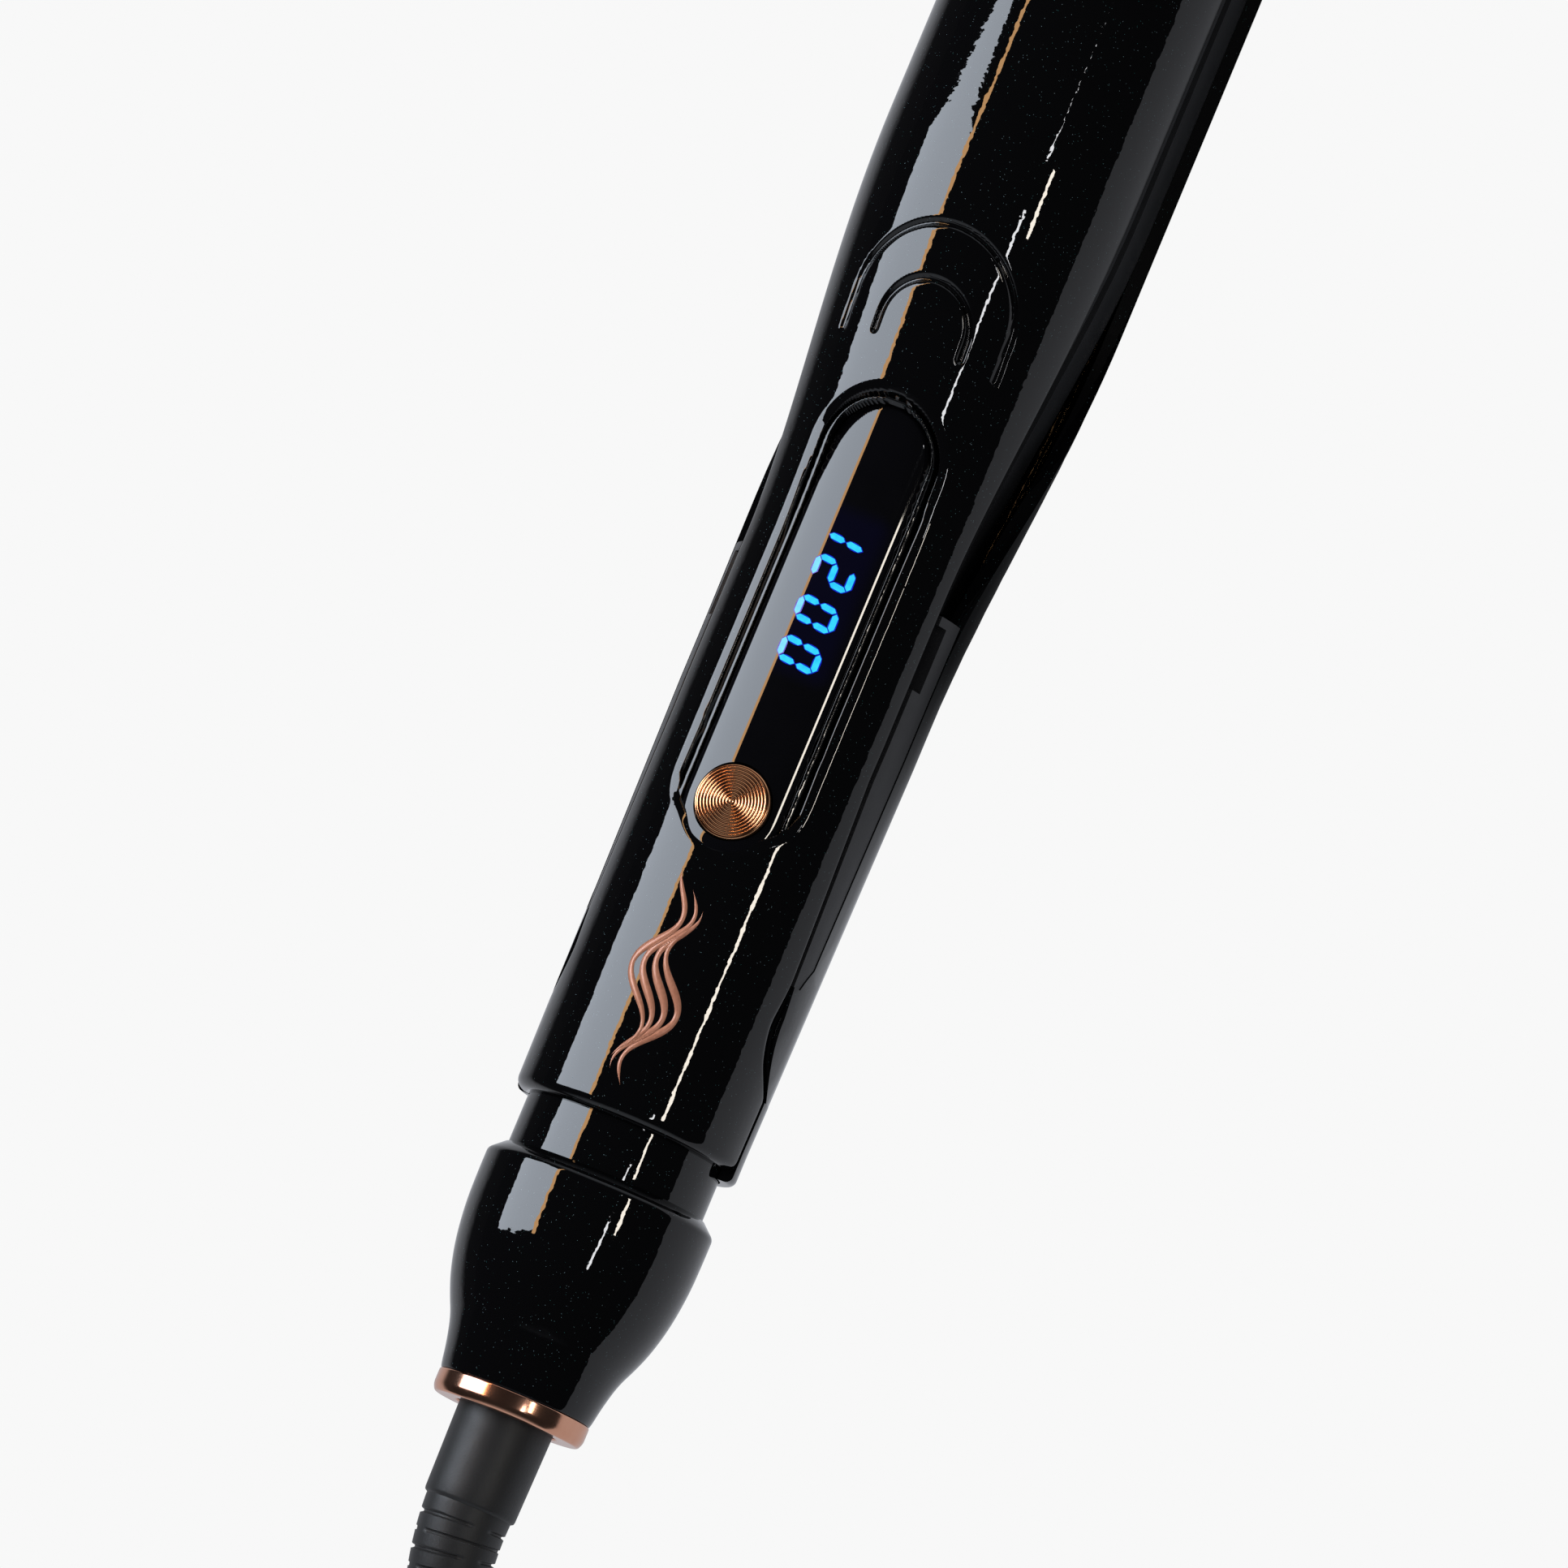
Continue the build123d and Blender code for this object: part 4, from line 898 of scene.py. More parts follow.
@dataclass(frozen=True)
class DisplayPanel:
    """Smoked lens with four lit digits under its face."""

    maker: Maker
    ends: Point = (85.0, 134.5)
    half: float = 7.0
    crown_radius: float = 13.0
    crown_centre: float = 3.25
    rim: float = 0.45
    foot_z: float = 13.0
    hole_radius: float = 5.3
    hole_floor: float = 14.05
    digit_x: tuple[float, ...] = (123.7, 117.9, 112.1, 106.3)
    digits: str = "1200"
    digit_middle: float = -0.7
    digit_height: float = 5.1
    digit_width: float = 2.75
    stroke: float = 0.8
    slant: float = 7.5

    def crown(self, y: np.ndarray | float) -> np.ndarray | float:
        """Height of the lens's face at a place across it."""
        return self.crown_centre + np.sqrt(self.crown_radius**2 - np.square(y))

    def ring(self, inset: float, drop: float | None = None) -> np.ndarray:
        """One ring of points round the lens.

        Args:
            inset: how far inside the outline.
            drop: how far under the face, or None for the foot.

        Returns:
            Points of the ring.
        """
        half = self.half - inset
        plan = np.array([*arc(self.ends[1], 0, half, -90, 90, 40), *arc(self.ends[0], 0, half, 90, 270, 40)])
        runs = []
        for a, b in zip(plan, np.roll(plan, -1, axis=0)):
            count = max(1, int(np.hypot(*(b - a)) / 2.5)) if abs(a[1] - b[1]) < 1e-6 and half > 0 else 1
            runs += [a + (b - a) * k / count for k in range(count)]
        flat = np.array(runs)
        z = np.full(len(flat), self.foot_z) if drop is None else self.crown(flat[:, 1]) - drop
        return np.column_stack([flat, z])

    def lens(self, finish: Finish) -> None:
        """Builds the lens from rings that shrink to its middle line, then sinks the button's pocket into it."""
        fillet = [(self.rim * (1 - math.sin(t)), self.rim * (1 - math.cos(t))) for t in np.linspace(math.pi / 2, 0, 7)]
        rings = [self.ring(0, None)]
        rings += [self.ring(inset, drop) for inset, drop in fillet]
        rings += [self.ring(inset, 0) for inset in (0.8, 1.2, 1.8, 2.5, 3.3, 4.2, 5.2, 6.1, 6.7, 6.98)]
        size = len(rings[1])
        rings = [r for r in rings if len(r) == size]
        points = np.concatenate(rings)
        faces = skin_faces(len(rings), size, round_columns=True)
        faces += [tuple(range(size)), tuple(range((len(rings) - 1) * size, len(rings) * size))]
        lens = piece_from("display_lens_cover", self.maker.axis.rows(points), faces)
        around = arc(self.ends[0], 0, self.hole_radius, 0, 360, 96)[:-1]
        wall = [np.array([(px, py, z) for px, py in around]) for z in (self.hole_floor, 20.0)]
        cutter_faces = skin_faces(2, 96, round_columns=True) + [tuple(range(96)), tuple(range(96, 192))]
        cutter = piece_from("pocket_cutter", self.maker.axis.rows(np.concatenate(wall)), cutter_faces)
        cut = lens.modifiers.new("pocket", "BOOLEAN")
        cut.object, cut.operation, cut.solver = cutter, "DIFFERENCE", "EXACT"
        bpy.context.view_layer.update()
        made = bpy.data.meshes.new_from_object(lens.evaluated_get(bpy.context.evaluated_depsgraph_get()))
        lens.modifiers.clear()
        lens.data = made
        bpy.data.objects.remove(cutter)
        lens.data.shade_smooth()
        lens.data.set_sharp_from_angle(angle=math.radians(35))
        self.maker.dress(lens, Body.FRONT_ARM, finish, Slot.LENS, "display_lens")

    def segment(self, a: Vector, b: Vector, wider: float, lift: float) -> np.ndarray:
        """One lit bar with pointed ends, laid on the lens's face.

        Args:
            a: one end, in the face's plan.
            b: the other end.
            wider: how far it reaches past a plain bar on each side.
            lift: how far its top stands over the face.

        Returns:
            Rings of four points along the bar.
        """
        along, gap = (b - a).normalized(), 0.15 - wider
        across = Vector((-along.y, along.x))
        length = (b - a).length - 2 * gap
        rings = []
        point = (0.0, 0.16, 0.32, 0.42)
        middle = [place for place in (1.0, 1.6, 2.2) if place < length - 0.42]
        for place in (*point, *middle, *(length - place for place in reversed(point))):
            half = max(0.02, min(self.stroke / 2 + wider, place, length - place))
            for side, rise in ((-1, -0.1), (-1, lift), (1, lift), (1, -0.1)):
                p = a + along * (gap + place) + across * half * side
                rings.append((p.x, p.y, float(self.crown(p.y)) + rise))
        return np.array(rings)

    def lit(self, name: str, finish: Finish, wider: float, lift: float) -> None:
        """Builds the digits. They read from the tip to the cord with their tops toward -y.

        Args:
            name: the piece's name.
            finish: its light.
            wider: how far each bar reaches past a plain one.
            lift: how far the bars stand over the lens's face.
        """
        bars = {
            "a": ((-1, 1), (1, 1)), "b": ((1, 1), (1, 0)), "c": ((1, 0), (1, -1)), "d": ((-1, -1), (1, -1)),
            "e": ((-1, 0), (-1, -1)), "f": ((-1, 1), (-1, 0)), "g": ((-1, 0), (1, 0)),
        }
        shapes = {"1": "bc", "2": "abged", "0": "abcdef"}
        points, faces = [], []
        for x, digit in zip(self.digit_x, self.digits):
            for bar in shapes[digit]:
                ends = []
                for across, up in bars[bar]:
                    height = up * self.digit_height / 2
                    right = across * self.digit_width / 2 + height * math.tan(math.radians(self.slant))
                    ends.append(Vector((x - right, self.digit_middle - height)))
                rings = self.segment(*ends, wider, lift)
                base, rows = sum(map(len, points)), len(rings) // 4
                points.append(rings)
                faces += [tuple(base + c for c in face) for face in skin_faces(rows, 4, round_columns=True)]
                faces += [tuple(base + c for c in range(4)), tuple(base + (rows - 1) * 4 + c for c in range(4))]
        piece = piece_from(name, self.maker.axis.rows(np.concatenate(points)), faces)
        piece.data.shade_flat()
        self.maker.dress(piece, Body.FRONT_ARM, finish, Slot.DISPLAY)

    def build(self) -> None:
        """Builds the lens and its digits."""
        middle = self.maker.axis.at(sum(self.digit_x) / 4, self.digit_middle, float(self.crown(0)))
        half = (((self.digit_x[0] - self.digit_x[-1]) / 2 + 1.3) * MM, 2.8 * MM, 1.0 * MM)
        self.lens(SmokedAcrylic(glow_at=tuple(middle), glow_half=half))
        self.lit("display_digits", LitSegment(), 0.0, 0.035)
        # the light's own fringe in the epoxy, a deeper blue round each bar
        fringe = LitSegment("epoxy_clear_cast_fringe", "#0A0AC8", "#1C22F0", 0.8)
        self.lit("display_fringe", fringe, 0.16, 0.015)


@dataclass(frozen=True)
class PowerKey:
    """Turned power button with fine rings round its middle."""

    maker: Maker
    x: float = 85.0
    radius: float = 5.05
    face_z: float = 16.42
    # the foot stays clear of the pocket's floor when the key is pressed 0.6 mm
    foot_z: float = 14.75
    rings: int = 11
    ring_depth: float = 0.12
    segments: int = 144

    def build(self) -> None:
        """Turns the button's profile about its own upright middle."""
        r = np.linspace(0.02, self.radius - 0.3, 150)
        wave = np.abs(np.sin(math.pi * self.rings * r / (self.radius - 0.3)))
        z = self.face_z - self.ring_depth * (1 - wave) - 0.06 * (r / self.radius) ** 2
        turn = np.linspace(0, math.pi / 2, 6)[1:]
        edge_r = self.radius - 0.3 + 0.3 * np.sin(turn)
        edge_z = z[-1] - 0.3 * (1 - np.cos(turn))
        r, z = np.concatenate([r, edge_r, [self.radius]]), np.concatenate([z, edge_z, [self.foot_z]])
        around = np.linspace(0, 2 * math.pi, self.segments, endpoint=False)
        points = np.stack(
            [
                (self.x + np.outer(r, np.cos(around))).ravel(),
                np.outer(r, np.sin(around)).ravel(),
                np.repeat(z, self.segments),
            ],
            axis=1,
        )
        faces = skin_faces(len(r), self.segments, round_columns=True)
        last = (len(r) - 1) * self.segments
        faces += [tuple(range(self.segments)), tuple(range(last, last + self.segments))]
        piece = piece_from("power_key", self.maker.axis.rows(points), faces)
        pitch = (self.radius - 0.3) / self.rings * MM
        # the deep brown dark tone is the painted shade in the bottom of each ring
        metal = RoseMetal(middle=tuple(self.maker.axis.at(self.x)), pitch=pitch, dark="#7A3E1E")
        self.maker.dress(piece, Body.POWER_BUTTON, metal, Slot.ROSE_METAL, "power_button")


@dataclass(frozen=True)
class HandleOrnament:
    """Flowing strands printed in copper on the handle, in place of lettering."""

    maker: Maker
    span: Point = (45.0, 74.5)
    strands: int = 4
    # how far the strands swing, over what length, and how far apart they run
    sway: float = 1.9
    wave_length: float = 14.5
    spacing: float = 1.55
    thickest: float = 1.5
    lift: float = 0.02
    foot: float = -0.06
    # how much further along each strand starts and how much sooner each ends
    stagger: Point = (1.6, 2.2)

    def build(self) -> None:
        """Lays thick and thin strokes on the shell, each a thin strip that follows its curve."""
        house = self.maker.housing
        points, faces = [], []
        for k in range(self.strands):
            start = self.span[0] + self.stagger[0] * k
            end = self.span[1] - self.stagger[1] * (self.strands - 1 - k)
            x = np.linspace(start, end, 90)
            t = (x - start) / (end - start)
            phase = 2 * math.pi * (x - self.span[0]) / self.wave_length + 0.35 * k
            lane = (k - (self.strands - 1) / 2) * self.spacing
            middle = lane * (0.35 + 0.65 * np.sin(math.pi * t)) + self.sway * np.sin(phase)
            swell = np.sin(math.pi * t) ** 0.8 * (0.45 + 0.55 * np.cos(phase) ** 2)
            taper = np.clip(np.minimum(t, 1 - t) * 14, 0.03, 1)
            half = 0.5 * self.thickest * (0.12 + 0.88 * swell) * taper
            base = sum(map(len, points))
            rows = []
            for side, lift in ((-1, self.foot), (-1, self.lift), (0, self.lift), (1, self.lift), (1, self.foot)):
                radius = house.radius(x, house.front_flare) + lift
                turn = (middle + side * half) / radius
                rows.append(np.column_stack([x, radius * np.sin(turn), radius * np.cos(turn)]))
            strip = np.stack(rows, axis=1).reshape(-1, 3)
            points.append(strip)
            faces += [tuple(base + c for c in face) for face in skin_faces(len(x), 5, round_columns=True)]
        piece = piece_from("handle_ornament", self.maker.axis.rows(np.concatenate(points)), faces)
        self.maker.dress(piece, Body.FRONT_ARM, INK, Slot.ROSE_METAL)


# ---- tail ----
@dataclass(frozen=True)
class Tail:
    """Neck, bell and trim ring at the cord's end of the iron."""

    maker: Maker
    bell: tuple[Point, ...] = (
        (3.1, 10.3), (3.2, 10.6), (6.3, 11.1), (9.8, 11.95), (12.5, 13.2), (15.4, 14.3),
        (19.5, 15.3), (24.5, 15.9), (29.0, 16.0), (32.2, 16.0), (33.8, 14.2),
    )
    hollow: tuple[Point, ...] = ((33.8, 12.6), (25.0, 13.9), (19.9, 13.3), (12.7, 11.4), (7.2, 9.6), (6.1, 9.2))
    wall: float = 1.7
    bore: float = 7.05

    def build(self) -> None:
        """Turns each piece about the long axis."""
        skin = rounded(self.bell, [20.0] * 9 + [0.5, 0.0], steps=10)
        bore = ((6.1, self.bore), (3.1, self.bore))
        bell = self.maker.turned("bell_skin", [*skin, *self.hollow, *bore])
        self.maker.dress(bell, Body.FRONT_ARM, LACQUER, Slot.NECK, "tail_bell")
        neck = rounded([(33.4, 11.9), (33.4, 13.8), (41.9, 13.8), (41.9, 11.9)], (0, 0.35, 0.35, 0), closed=True)
        sleeve = self.maker.turned("neck_skin", neck)
        self.maker.dress(sleeve, Body.FRONT_ARM, LACQUER, Slot.NECK, "neck_sleeve")
        outline = [(0.0, 7.1), (0.0, 10.15), (0.9, 10.6), (3.1, 10.6), (3.1, 7.1)]
        ring = rounded(outline, (0.3, 0.35, 0.5, 0.3, 0.1), closed=True)
        trim = self.maker.turned("trim_ring_skin", ring, 200)
        self.maker.dress(trim, Body.FRONT_ARM, RING_METAL, Slot.ROSE_METAL, "trim_ring")


@dataclass(frozen=True)
class Boot:
    """Moulded strain relief: a plain sleeve, then a slotted part that bends with the cord."""

    maker: Maker
    start_x: float = 3.4
    straight_end: float = -12.5
    bend_radius: float = 40.0
    bend: float = 26.0
    cone: float = 14.0
    radii: Point = (6.65, 6.35)
    flex_radii: Point = (5.9, 4.5)
    pitch: float = 2.15
    slot_depth: float = 0.45
    columns: int = 96

    def centre(self, s: float) -> tuple[Vector, Vector]:
        """Place and direction on the boot's middle line.

        Args:
            s: length along it from the straight part's end, in millimetres.

        Returns:
            The place and the direction there.
        """
        down = Vector((0, -0.766, -0.643))
        back = Vector((-1, 0, 0))
        turn = min(max(s / self.bend_radius, 0.0), math.radians(self.bend))
        place = Vector((self.straight_end, 0, 0)) + back * self.bend_radius * math.sin(turn)
        place += down * self.bend_radius * (1 - math.cos(turn))
        way = back * math.cos(turn) + down * math.sin(turn)
        rest = s - self.bend_radius * turn
        return place + way * rest, way

    def profile(self) -> list[tuple[float, float, float]]:
        """Rings (s, radius, slot share) along the boot."""
        arc_length = self.bend_radius * math.radians(self.bend)
        end = arc_length + self.cone
        head = self.straight_end - self.start_x
        rings = [(head, self.radii[0] - 0.3, 0.0), (head + 0.3, self.radii[0], 0.0)]
        big, small = self.radii
        rings += [(s, big + (small - big) * (s - head) / -head, 0.0) for s in np.linspace(head + 1, -0.5, 10)]
        rings += [(-0.15, small - 0.08, 0.0), (0.1, small - 0.45, 0.0), (0.25, self.flex_radii[0], 0.0)]
        for s in np.arange(0.4, end - 0.6, 0.11):
            share = (s - 0.4) / (end - 1.0)
            place = (s - 1.2) / self.pitch
            pulse = float(np.clip(7 * math.cos(2 * math.pi * place - math.pi) - 5.2, 0, 1))
            cut = pulse if 1.2 <= s <= end - 2.4 else 0.0
            rings.append((s, self.flex_radii[0] + (self.flex_radii[1] - self.flex_radii[0]) * share, cut))
        tip = self.flex_radii[1]
        rings += [(end - 0.35, tip, 0.0), (end - 0.1, tip - 0.15, 0.0), (end, tip - 0.5, 0.0)]
        return [(s, r, c) for s, r, c in rings]

    def build(self) -> None:
        """Sweeps the rings along the middle line. Slots alternate between two sides and the other two."""
        around = np.linspace(0, 2 * math.pi, self.columns, endpoint=False)
        points = []
        rings = self.profile()
        for s, radius, cut in rings:
            place, way = self.centre(s)
            side = way.cross(Vector((0, -0.643, 0.766))).normalized()
            over = side.cross(way)
            odd = int(math.floor((s - 1.2) / self.pitch)) % 2
            web = np.abs(np.cos(around + (math.pi / 2 if odd else 0.0)))
            reach = radius - self.slot_depth * cut * np.clip((web - 0.2) * 6, 0, 1)
            for a, r in zip(around, reach):
                p = place + side * math.cos(a) * r + over * math.sin(a) * r
                points.append((p.x, p.y, p.z))
        faces = skin_faces(len(rings), self.columns, round_columns=True)
        faces += [tuple(range(self.columns)), tuple(range((len(rings) - 1) * self.columns, len(rings) * self.columns))]
        piece = piece_from("boot_skin", self.maker.axis.rows(np.array(points)), faces)
        piece.data.set_sharp_from_angle(angle=math.radians(50))
        self.maker.dress(piece, Body.CORD_END, ELASTOMER, Slot.SOFT_BLACK, "strain_relief")


@dataclass(frozen=True)
class Plug:
    """Moulded two-pin plug body with a grip waist and ridges."""

    maker: Maker
    stations: tuple[tuple[float, float, float, float], ...] = (
        (-170.0, 4.0, 4.0, 2.0),
        (-170.6, 4.2, 4.2, 2.0),
        (-176.0, 4.6, 4.6, 2.0),
        (-183.0, 5.4, 5.4, 2.2),
        (-185.2, 8.6, 6.4, 2.8),
        (-186.6, 10.6, 7.0, 3.4),
        (-190.0, 11.3, 7.2, 3.8),
        (-196.0, 10.6, 6.9, 3.8),
        (-202.0, 10.8, 7.0, 4.0),
        (-208.0, 11.8, 7.4, 4.4),
        (-212.4, 12.0, 7.5, 4.6),
        (-212.9, 11.7, 7.2, 4.6),
        (-213.0, 11.2, 6.8, 4.6),
    )
    height: float = 2.0
    ridges: tuple[float, float, float] = (-192.0, -206.0, 2.0)
    ridge_depth: float = 0.4
    columns: int = 72

    def build(self) -> None:
        """Lofts squarish rings along the plug, with ridges across its grip."""
        known = np.array(self.stations)[::-1]
        x = np.concatenate([known[:, 0], np.arange(-211.5, -170.8, 0.3)])
        x = np.unique(np.round(x, 3))
        wide, tall, power = (np.interp(x, known[:, 0], known[:, k]) for k in (1, 2, 3))
        near, far, pitch = self.ridges
        grip = eased(x, far - 1, far + 1) * (1 - eased(x, near - 1, near + 1))
        sink = self.ridge_depth * grip * (0.5 + 0.5 * np.cos(2 * math.pi * x / pitch))
        around = np.linspace(0, 2 * math.pi, self.columns, endpoint=False)
        c, s = np.cos(around), np.sin(around)
        rings = []
        for place, w, t, p, d in zip(x, wide, tall, power, sink):
            y = np.sign(c) * np.abs(c) ** (2 / p) * (w - d)
            z = np.sign(s) * np.abs(s) ** (2 / p) * (t - d) + self.height
            rings.append(np.column_stack([np.full(self.columns, place), y, z]))
        faces = skin_faces(len(rings), self.columns, round_columns=True)
        faces += [tuple(range(self.columns)), tuple(range((len(rings) - 1) * self.columns, len(rings) * self.columns))]
        piece = piece_from("plug_grip", self.maker.axis.rows(np.concatenate(rings)), faces)
        piece.data.set_sharp_from_angle(angle=math.radians(50))
        self.maker.dress(piece, Body.CORD_END, ELASTOMER, Slot.PLUG, "plug_body")


@dataclass(frozen=True)
class HankStrap:
    """Woven strap wound once round the hank's waist, with its end sewn over its start on one side."""

    maker: Maker
    x: Point = (-152.0, -138.0)
    half: float = 18.1
    heights: Point = (-22.93, -4.87)
    corner: float = 3.05
    thick: float = 0.56
    # how much further out the strap's edges stand, where the turns spread again
    swell: float = 0.85
    start_z: float = -13.0
    end_z: float = -18.0
    stitches: Point = (1.6, 3.2)
    stitch_pitch: float = 2.2
    step: float = 0.3
    columns: int = 41

    def path(self) -> tuple[np.ndarray, np.ndarray, np.ndarray]:
        """The strap's inner line across the hank.

        Returns:
            Its points, the way out from each, and the length left from each to the end.
        """
        low, high = self.heights
        over = self.half + self.thick + 0.02
        turns = [(self.half, self.start_z), (self.half, low), (-self.half, low), (-self.half, high), (over, high)]
        radii = (0, self.corner, self.corner, self.corner, self.corner + self.thick, 0)
        line = np.array(rounded([*turns, (over, self.end_z)], radii, steps=12))
        run = np.concatenate([[0.0], np.cumsum(np.hypot(*np.diff(line, axis=0).T))])
        at = np.linspace(0.0, run[-1], int(run[-1] / self.step))
        points = np.column_stack([np.interp(at, run, line[:, k]) for k in (0, 1)])
        way = np.gradient(points, axis=0)
        way /= np.linalg.norm(way, axis=1)[:, None]
        return points, np.column_stack([-way[:, 1], way[:, 0]]), run[-1] - at

    def build(self) -> None:
        """Sweeps a thin band with softened edges along the line."""
        points, out, left = self.path()
        share = np.linspace(-1, 1, self.columns)
        x = sum(self.x) / 2 + share * (self.x[1] - self.x[0]) / 2
        edge = np.clip((np.abs(share) - 0.94) / 0.06, 0, 1)
        half = self.thick / 2 * np.maximum(np.sqrt(1 - edge**2), 0.2)
        thread = np.clip(3 * np.sin(2 * math.pi * x / self.stitch_pitch), 0, 1) * (np.abs(share) < 0.85)
        rings = []
        for (y, z), (oy, oz), rest in zip(points, out, left):
            sewn = sum(math.exp(-(((rest - place) / 0.28) ** 2)) for place in self.stitches)
            swell = self.swell * share**2 * oy
            rows = []
            for reach in (self.thick / 2 + half + 0.06 * sewn * thread, self.thick / 2 - half):
                rows.append(np.column_stack([x, y + swell + oy * reach, z + oz * reach]))
            rings.append(np.concatenate([rows[0], rows[1][::-1]]))
        count = 2 * self.columns
        faces = skin_faces(len(rings), count, round_columns=True)
        faces += [tuple(range(start, start + count)) for start in (0, (len(rings) - 1) * count)]
        piece = piece_from("hank_strap", self.maker.axis.rows(np.concatenate(rings)), faces)
        piece.data.set_sharp_from_angle(angle=math.radians(50))
        self.maker.dress(piece, Body.CORD_END, STRAP, Slot.TIE, "hank_tie")


# ---- what the CAD already has right ----
CARRIED: dict[Finish, tuple[str, ...]] = {
    LACQUER: ("back_arm_shell", "front_tip_cap", "back_tip_cap"),
    ABS: ("front_arm_liner", "back_arm_liner", "button_switch", "brush_block", "display_module"),
    NYLON: ("front_plate_carrier", "back_plate_carrier"),
    CERAMIC: ("front_plate", "back_plate"),
    ZINC: ("hinge_bracket", "hinge_pin", "front_screws", "back_screws", "tail_screws", "swivel_spindle"),
    WIRE: ("opening_spring",),
    HEATER: ("front_ptc_heater", "back_ptc_heater"),
    BRASS: ("slip_rings",),
    NICKEL: ("plug_blades",),
    MASK: ("control_board",),
    RED_LEAD: ("front_leads", "back_leads"),
    WHITE_LEAD: ("supply_leads",),
    PAD: ("front_float_pads", "back_float_pads"),
    RESIN: ("front_thermistor", "back_thermal_fuse"),
}


def dress_carried() -> None:
    """Gives each carried-over CAD node its finish."""
    for finish, nodes in CARRIED.items():
        for node in nodes:
            finish.put_on(bpy.data.objects[node])


# ---- studio ----
@dataclass(frozen=True)
class Softlight:
    """A glowing card beside or over the iron. It is seen only in reflections.

    The outline's points are (x in millimetres, angle from straight up in degrees, toward +y when positive).
    """

    name: str
    outline: tuple[Point, ...]
    radiance: float
    colour: str
    distance: float

    def place(self, axis: LongAxis) -> None:
        """Hangs the card.

        Args:
            axis: the iron's long axis, which the card faces.
        """
        angles = [angle for _, angle in self.outline]
        turn = math.radians((min(angles) + max(angles)) / 2)
        back, across = Vector((0, math.sin(turn), math.cos(turn))), Vector((0, math.cos(turn), -math.sin(turn)))
        corners = []
        for x, angle in self.outline:
            reach = self.distance * math.tan(math.radians(angle) - turn)
            corners.append(axis.at(x) + back * self.distance + across * reach)
        card = piece_from(self.name, np.array([tuple(c) for c in corners]), [tuple(range(len(corners)))])
        glow = bpy.data.materials.new(self.name)
        glow.use_nodes = True
        tree = glow.node_tree
        tree.nodes.clear()
        light = add(tree, "Emission", {"Color": linear(self.colour), "Strength": self.radiance})
        add(tree, "OutputMaterial", {"Surface": light})
        card.data.materials.append(glow)
        card.visible_camera = False
        card.visible_shadow = False


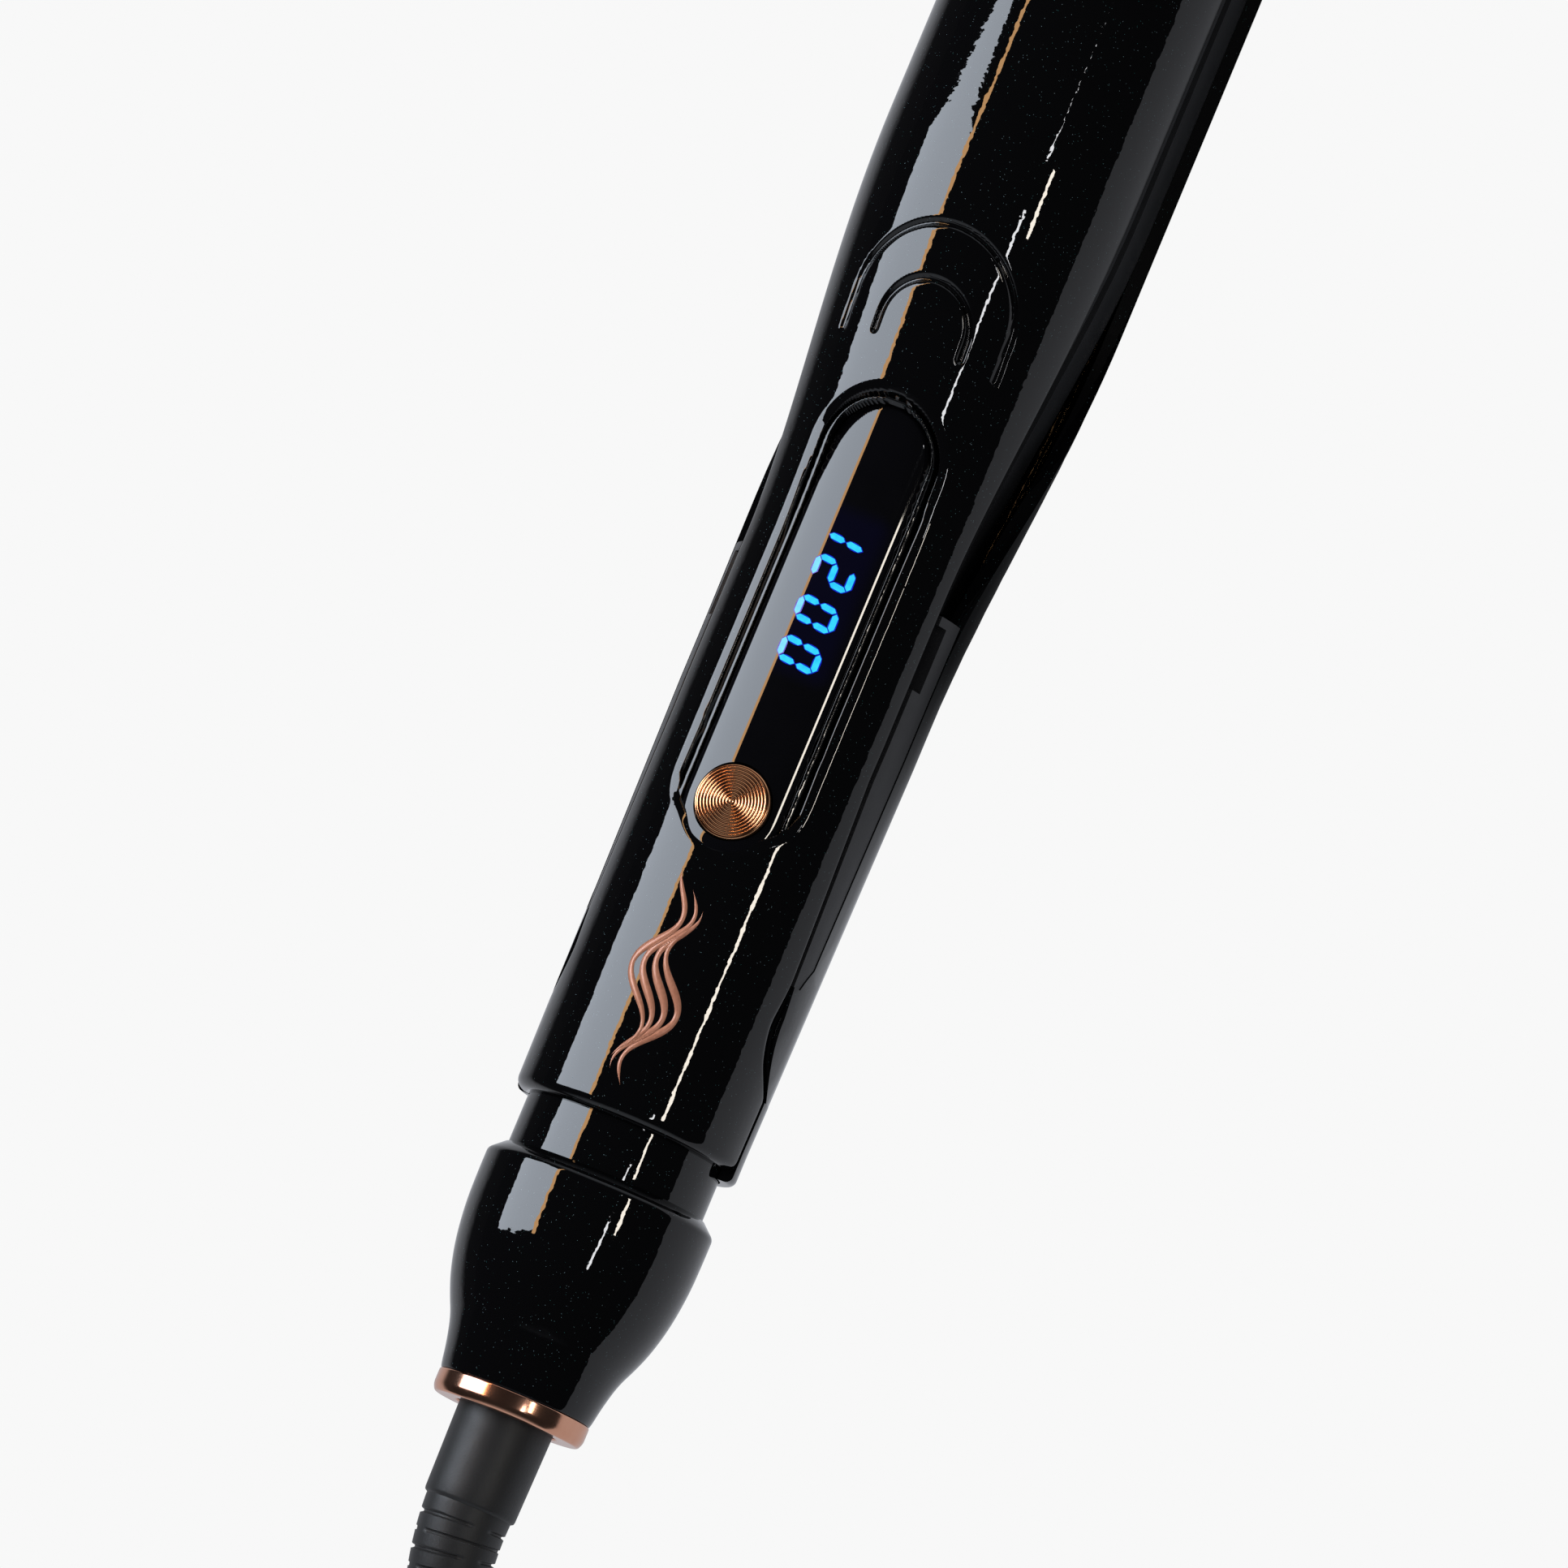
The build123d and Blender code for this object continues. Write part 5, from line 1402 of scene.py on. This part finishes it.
@dataclass(frozen=True)
class Studio:
    """Pale surroundings to look at, dark ones in the gloss, a floor to reflect, and long lights."""

    axis: LongAxis
    lights: tuple[Softlight, ...] = (
        Softlight(
            "softbox_left",
            (
                (-72, 40.0), (-58, 33.0), (290, 33.0), (330, 38.0), (345, 42.0), (360, 43.5), (420, 46.0),
                (420, 54.0), (360, 57.5), (345, 61.0), (330, 66.0), (290, 71.5), (-58, 71.5), (-72, 66.0),
            ),
            9.0, "#DCE5F1", 0.85,
        ),
        Softlight("warm_edge", ((-70, 30.2), (700, 30.2), (700, 33.0), (-70, 33.0)), 11.0, "#FFC486", 0.85),
        Softlight("strip_right", ((70, -40.4), (420, -40.4), (420, -43.0), (70, -43.0)), 24.0, "#FFF6E8", 2.0),
        Softlight("strip_head", ((-340, -29.6), (130, -31.0), (130, -33.0), (-340, -31.4)), 20.0, "#FBFCFF", 2.0),
        Softlight("strip_head_end", ((450, -32.0), (560, -33.6), (450, -34.0)), 20.0, "#FBFCFF", 2.0),
    )
    floor_half: float = 6.0
    pale: str = "#F8F8F8"
    # how the camera stands: angles in degrees, its focal length in mm and its distance in metres
    lean: float = 14.0
    tilt: float = 7.0
    roll: float = 22.7
    focal: float = 278.1
    sensor: float = 36.0
    distance: float = 1.6
    # what it looks at: a place along the iron and a little to the near side, in mm
    aim: Point = (91.7, 1.5)

    def floor(self) -> None:
        """Lays the floor, which shows only in reflections and is darker on the softbox's side, with a painted shadow
        of the iron along its near side.
        """
        half = self.floor_half
        corners = np.array([(-half, -half, 0), (half, -half, 0), (half, half, 0), (-half, half, 0)], float)
        piece = piece_from("studio_floor", corners, [(0, 1, 2, 3)])
        paper = bpy.data.materials.new("paper_white_matt")
        paper.use_nodes = True
        tree = paper.node_tree
        tree.nodes.clear()
        place = add(tree, "SeparateXYZ", {0: add(tree, "TexCoord").outputs["Object"]})
        fade = {"From Min": 0.05, "From Max": 0.11, "To Min": 0.56, "To Max": 0.03}
        level = add(tree, "MapRange", {"Value": place.outputs["Y"], **fade}, interpolation_type="SMOOTHSTEP")
        # painted shadow: beside the near side, from the handle's front to the tip, the floor's glow drops to nothing
        # in place of the iron's shade on the floor
        shade = {"From Min": -0.058, "From Max": -0.038, "To Min": 0.0, "To Max": 0.93}
        close = add(tree, "MapRange", {"Value": place.outputs["Y"], **shade}, interpolation_type="SMOOTHSTEP")
        ends = {"From Min": self.axis.at(75).x, "From Max": self.axis.at(120).x}
        ahead = add(tree, "MapRange", {"Value": place.outputs["X"], **ends}, interpolation_type="SMOOTHSTEP")
        near_side = {"From Min": -0.004, "From Max": 0.004, "To Min": 1.0, "To Max": 0.0}
        side = add(tree, "MapRange", {"Value": place.outputs["Y"], **near_side})
        under = add(tree, "Math", {0: close.outputs[0], 1: ahead.outputs[0]}, operation="MULTIPLY")
        under = add(tree, "Math", {0: under, 1: side.outputs[0]}, operation="MULTIPLY")
        left = add(tree, "Math", {0: 1.0, 1: under}, operation="SUBTRACT")
        level = add(tree, "Math", {0: level.outputs[0], 1: left}, operation="MULTIPLY")
        mirrored = add(tree, "Emission", {"Color": linear("#F4F7FF"), "Strength": level})
        add(tree, "OutputMaterial", {"Surface": mirrored})
        piece.data.materials.append(paper)
        # the open arm reaches under this plane, so the plane must not hide it
        piece.visible_camera = False

    def surroundings(self) -> None:
        """A pale wall to look at, dim in the gloss except past the iron's two ends, and soft for matt surfaces."""
        world = bpy.data.worlds.new("studio_walls")
        world.use_nodes = True
        tree = world.node_tree
        tree.nodes.clear()
        path = add(tree, "LightPath")
        wall = add(tree, "Background", {"Color": linear(self.pale), "Strength": 1.0})
        aim = add(tree, "SeparateXYZ", {0: add(tree, "TexCoord").outputs["Generated"]})
        along = add(tree, "Math", {0: aim.outputs["X"]}, operation="ABSOLUTE")
        ends = {"From Min": 0.66, "From Max": 0.9, "To Min": 0.03, "To Max": 0.75}
        level = add(tree, "MapRange", {"Value": along.outputs[0], **ends}, interpolation_type="SMOOTHSTEP")
        dim = add(tree, "Background", {"Color": linear("#D5DBE4"), "Strength": level.outputs[0]})
        soft = add(tree, "Background", {"Color": linear("#F2F4F8"), "Strength": 0.45})
        unseen = add(tree, "MixShader", {0: path.outputs["Is Glossy Ray"], 1: soft, 2: dim})
        shader = add(tree, "MixShader", {0: path.outputs["Is Camera Ray"], 1: unseen, 2: wall})
        add(tree, "OutputWorld", {"Surface": shader})
        bpy.context.scene.world = world

    def camera(self) -> None:
        """Long lens from above, leaning to the near side and turned so that the iron runs up and to the left."""
        lean, tilt, roll = (math.radians(angle) for angle in (self.lean, self.tilt, self.roll))
        over = Vector((0, -math.sin(lean), math.cos(lean)))
        along, side = Vector((1, 0, 0)), Vector((0, -math.cos(lean), -math.sin(lean)))
        back = over * math.cos(tilt) - along * math.sin(tilt)
        rise = along * math.cos(tilt) + over * math.sin(tilt)
        right = rise * math.sin(roll) + side * math.cos(roll)
        up = rise * math.cos(roll) - side * math.sin(roll)
        lens = bpy.data.cameras.new("studio_camera")
        lens.sensor_width = self.sensor
        lens.lens = self.focal
        lens.clip_start, lens.clip_end = 0.05, 50.0
        made = bpy.data.objects.new("studio_camera", lens)
        target = self.axis.at(self.aim[0]) + side * self.aim[1] * MM
        facing = Matrix((right, up, back)).transposed().to_quaternion()
        made.matrix_world = Matrix.LocRotScale(target + back * self.distance, facing, None)
        bpy.context.scene.collection.objects.link(made)
        bpy.context.scene.camera = made

    def build(self) -> None:
        """Sets up all of it."""
        bpy.context.scene.view_settings.view_transform = "Standard"
        self.floor()
        self.surroundings()
        for light in self.lights:
            light.place(self.axis)
        self.camera()


def main() -> None:
    """Builds every sub-assembly round the frame."""
    logging.basicConfig(level=logging.INFO, format="%(name)s: %(message)s")
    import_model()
    axis, housing = LongAxis.from_frame(), Housing()
    Studio(axis).build()
    maker = Maker(axis, housing)
    # what sits on the cord stands before the cord itself
    cord_end = (Plug, HankStrap, MainsLead, Boot)
    assemblies = (*cord_end, Tail, FrontShell, TailCover, DisplayPanel, PowerKey, HandleOrnament)
    for assembly in assemblies:
        assembly(maker).build()
    dress_carried()


if __name__ == "__main__":
    main()
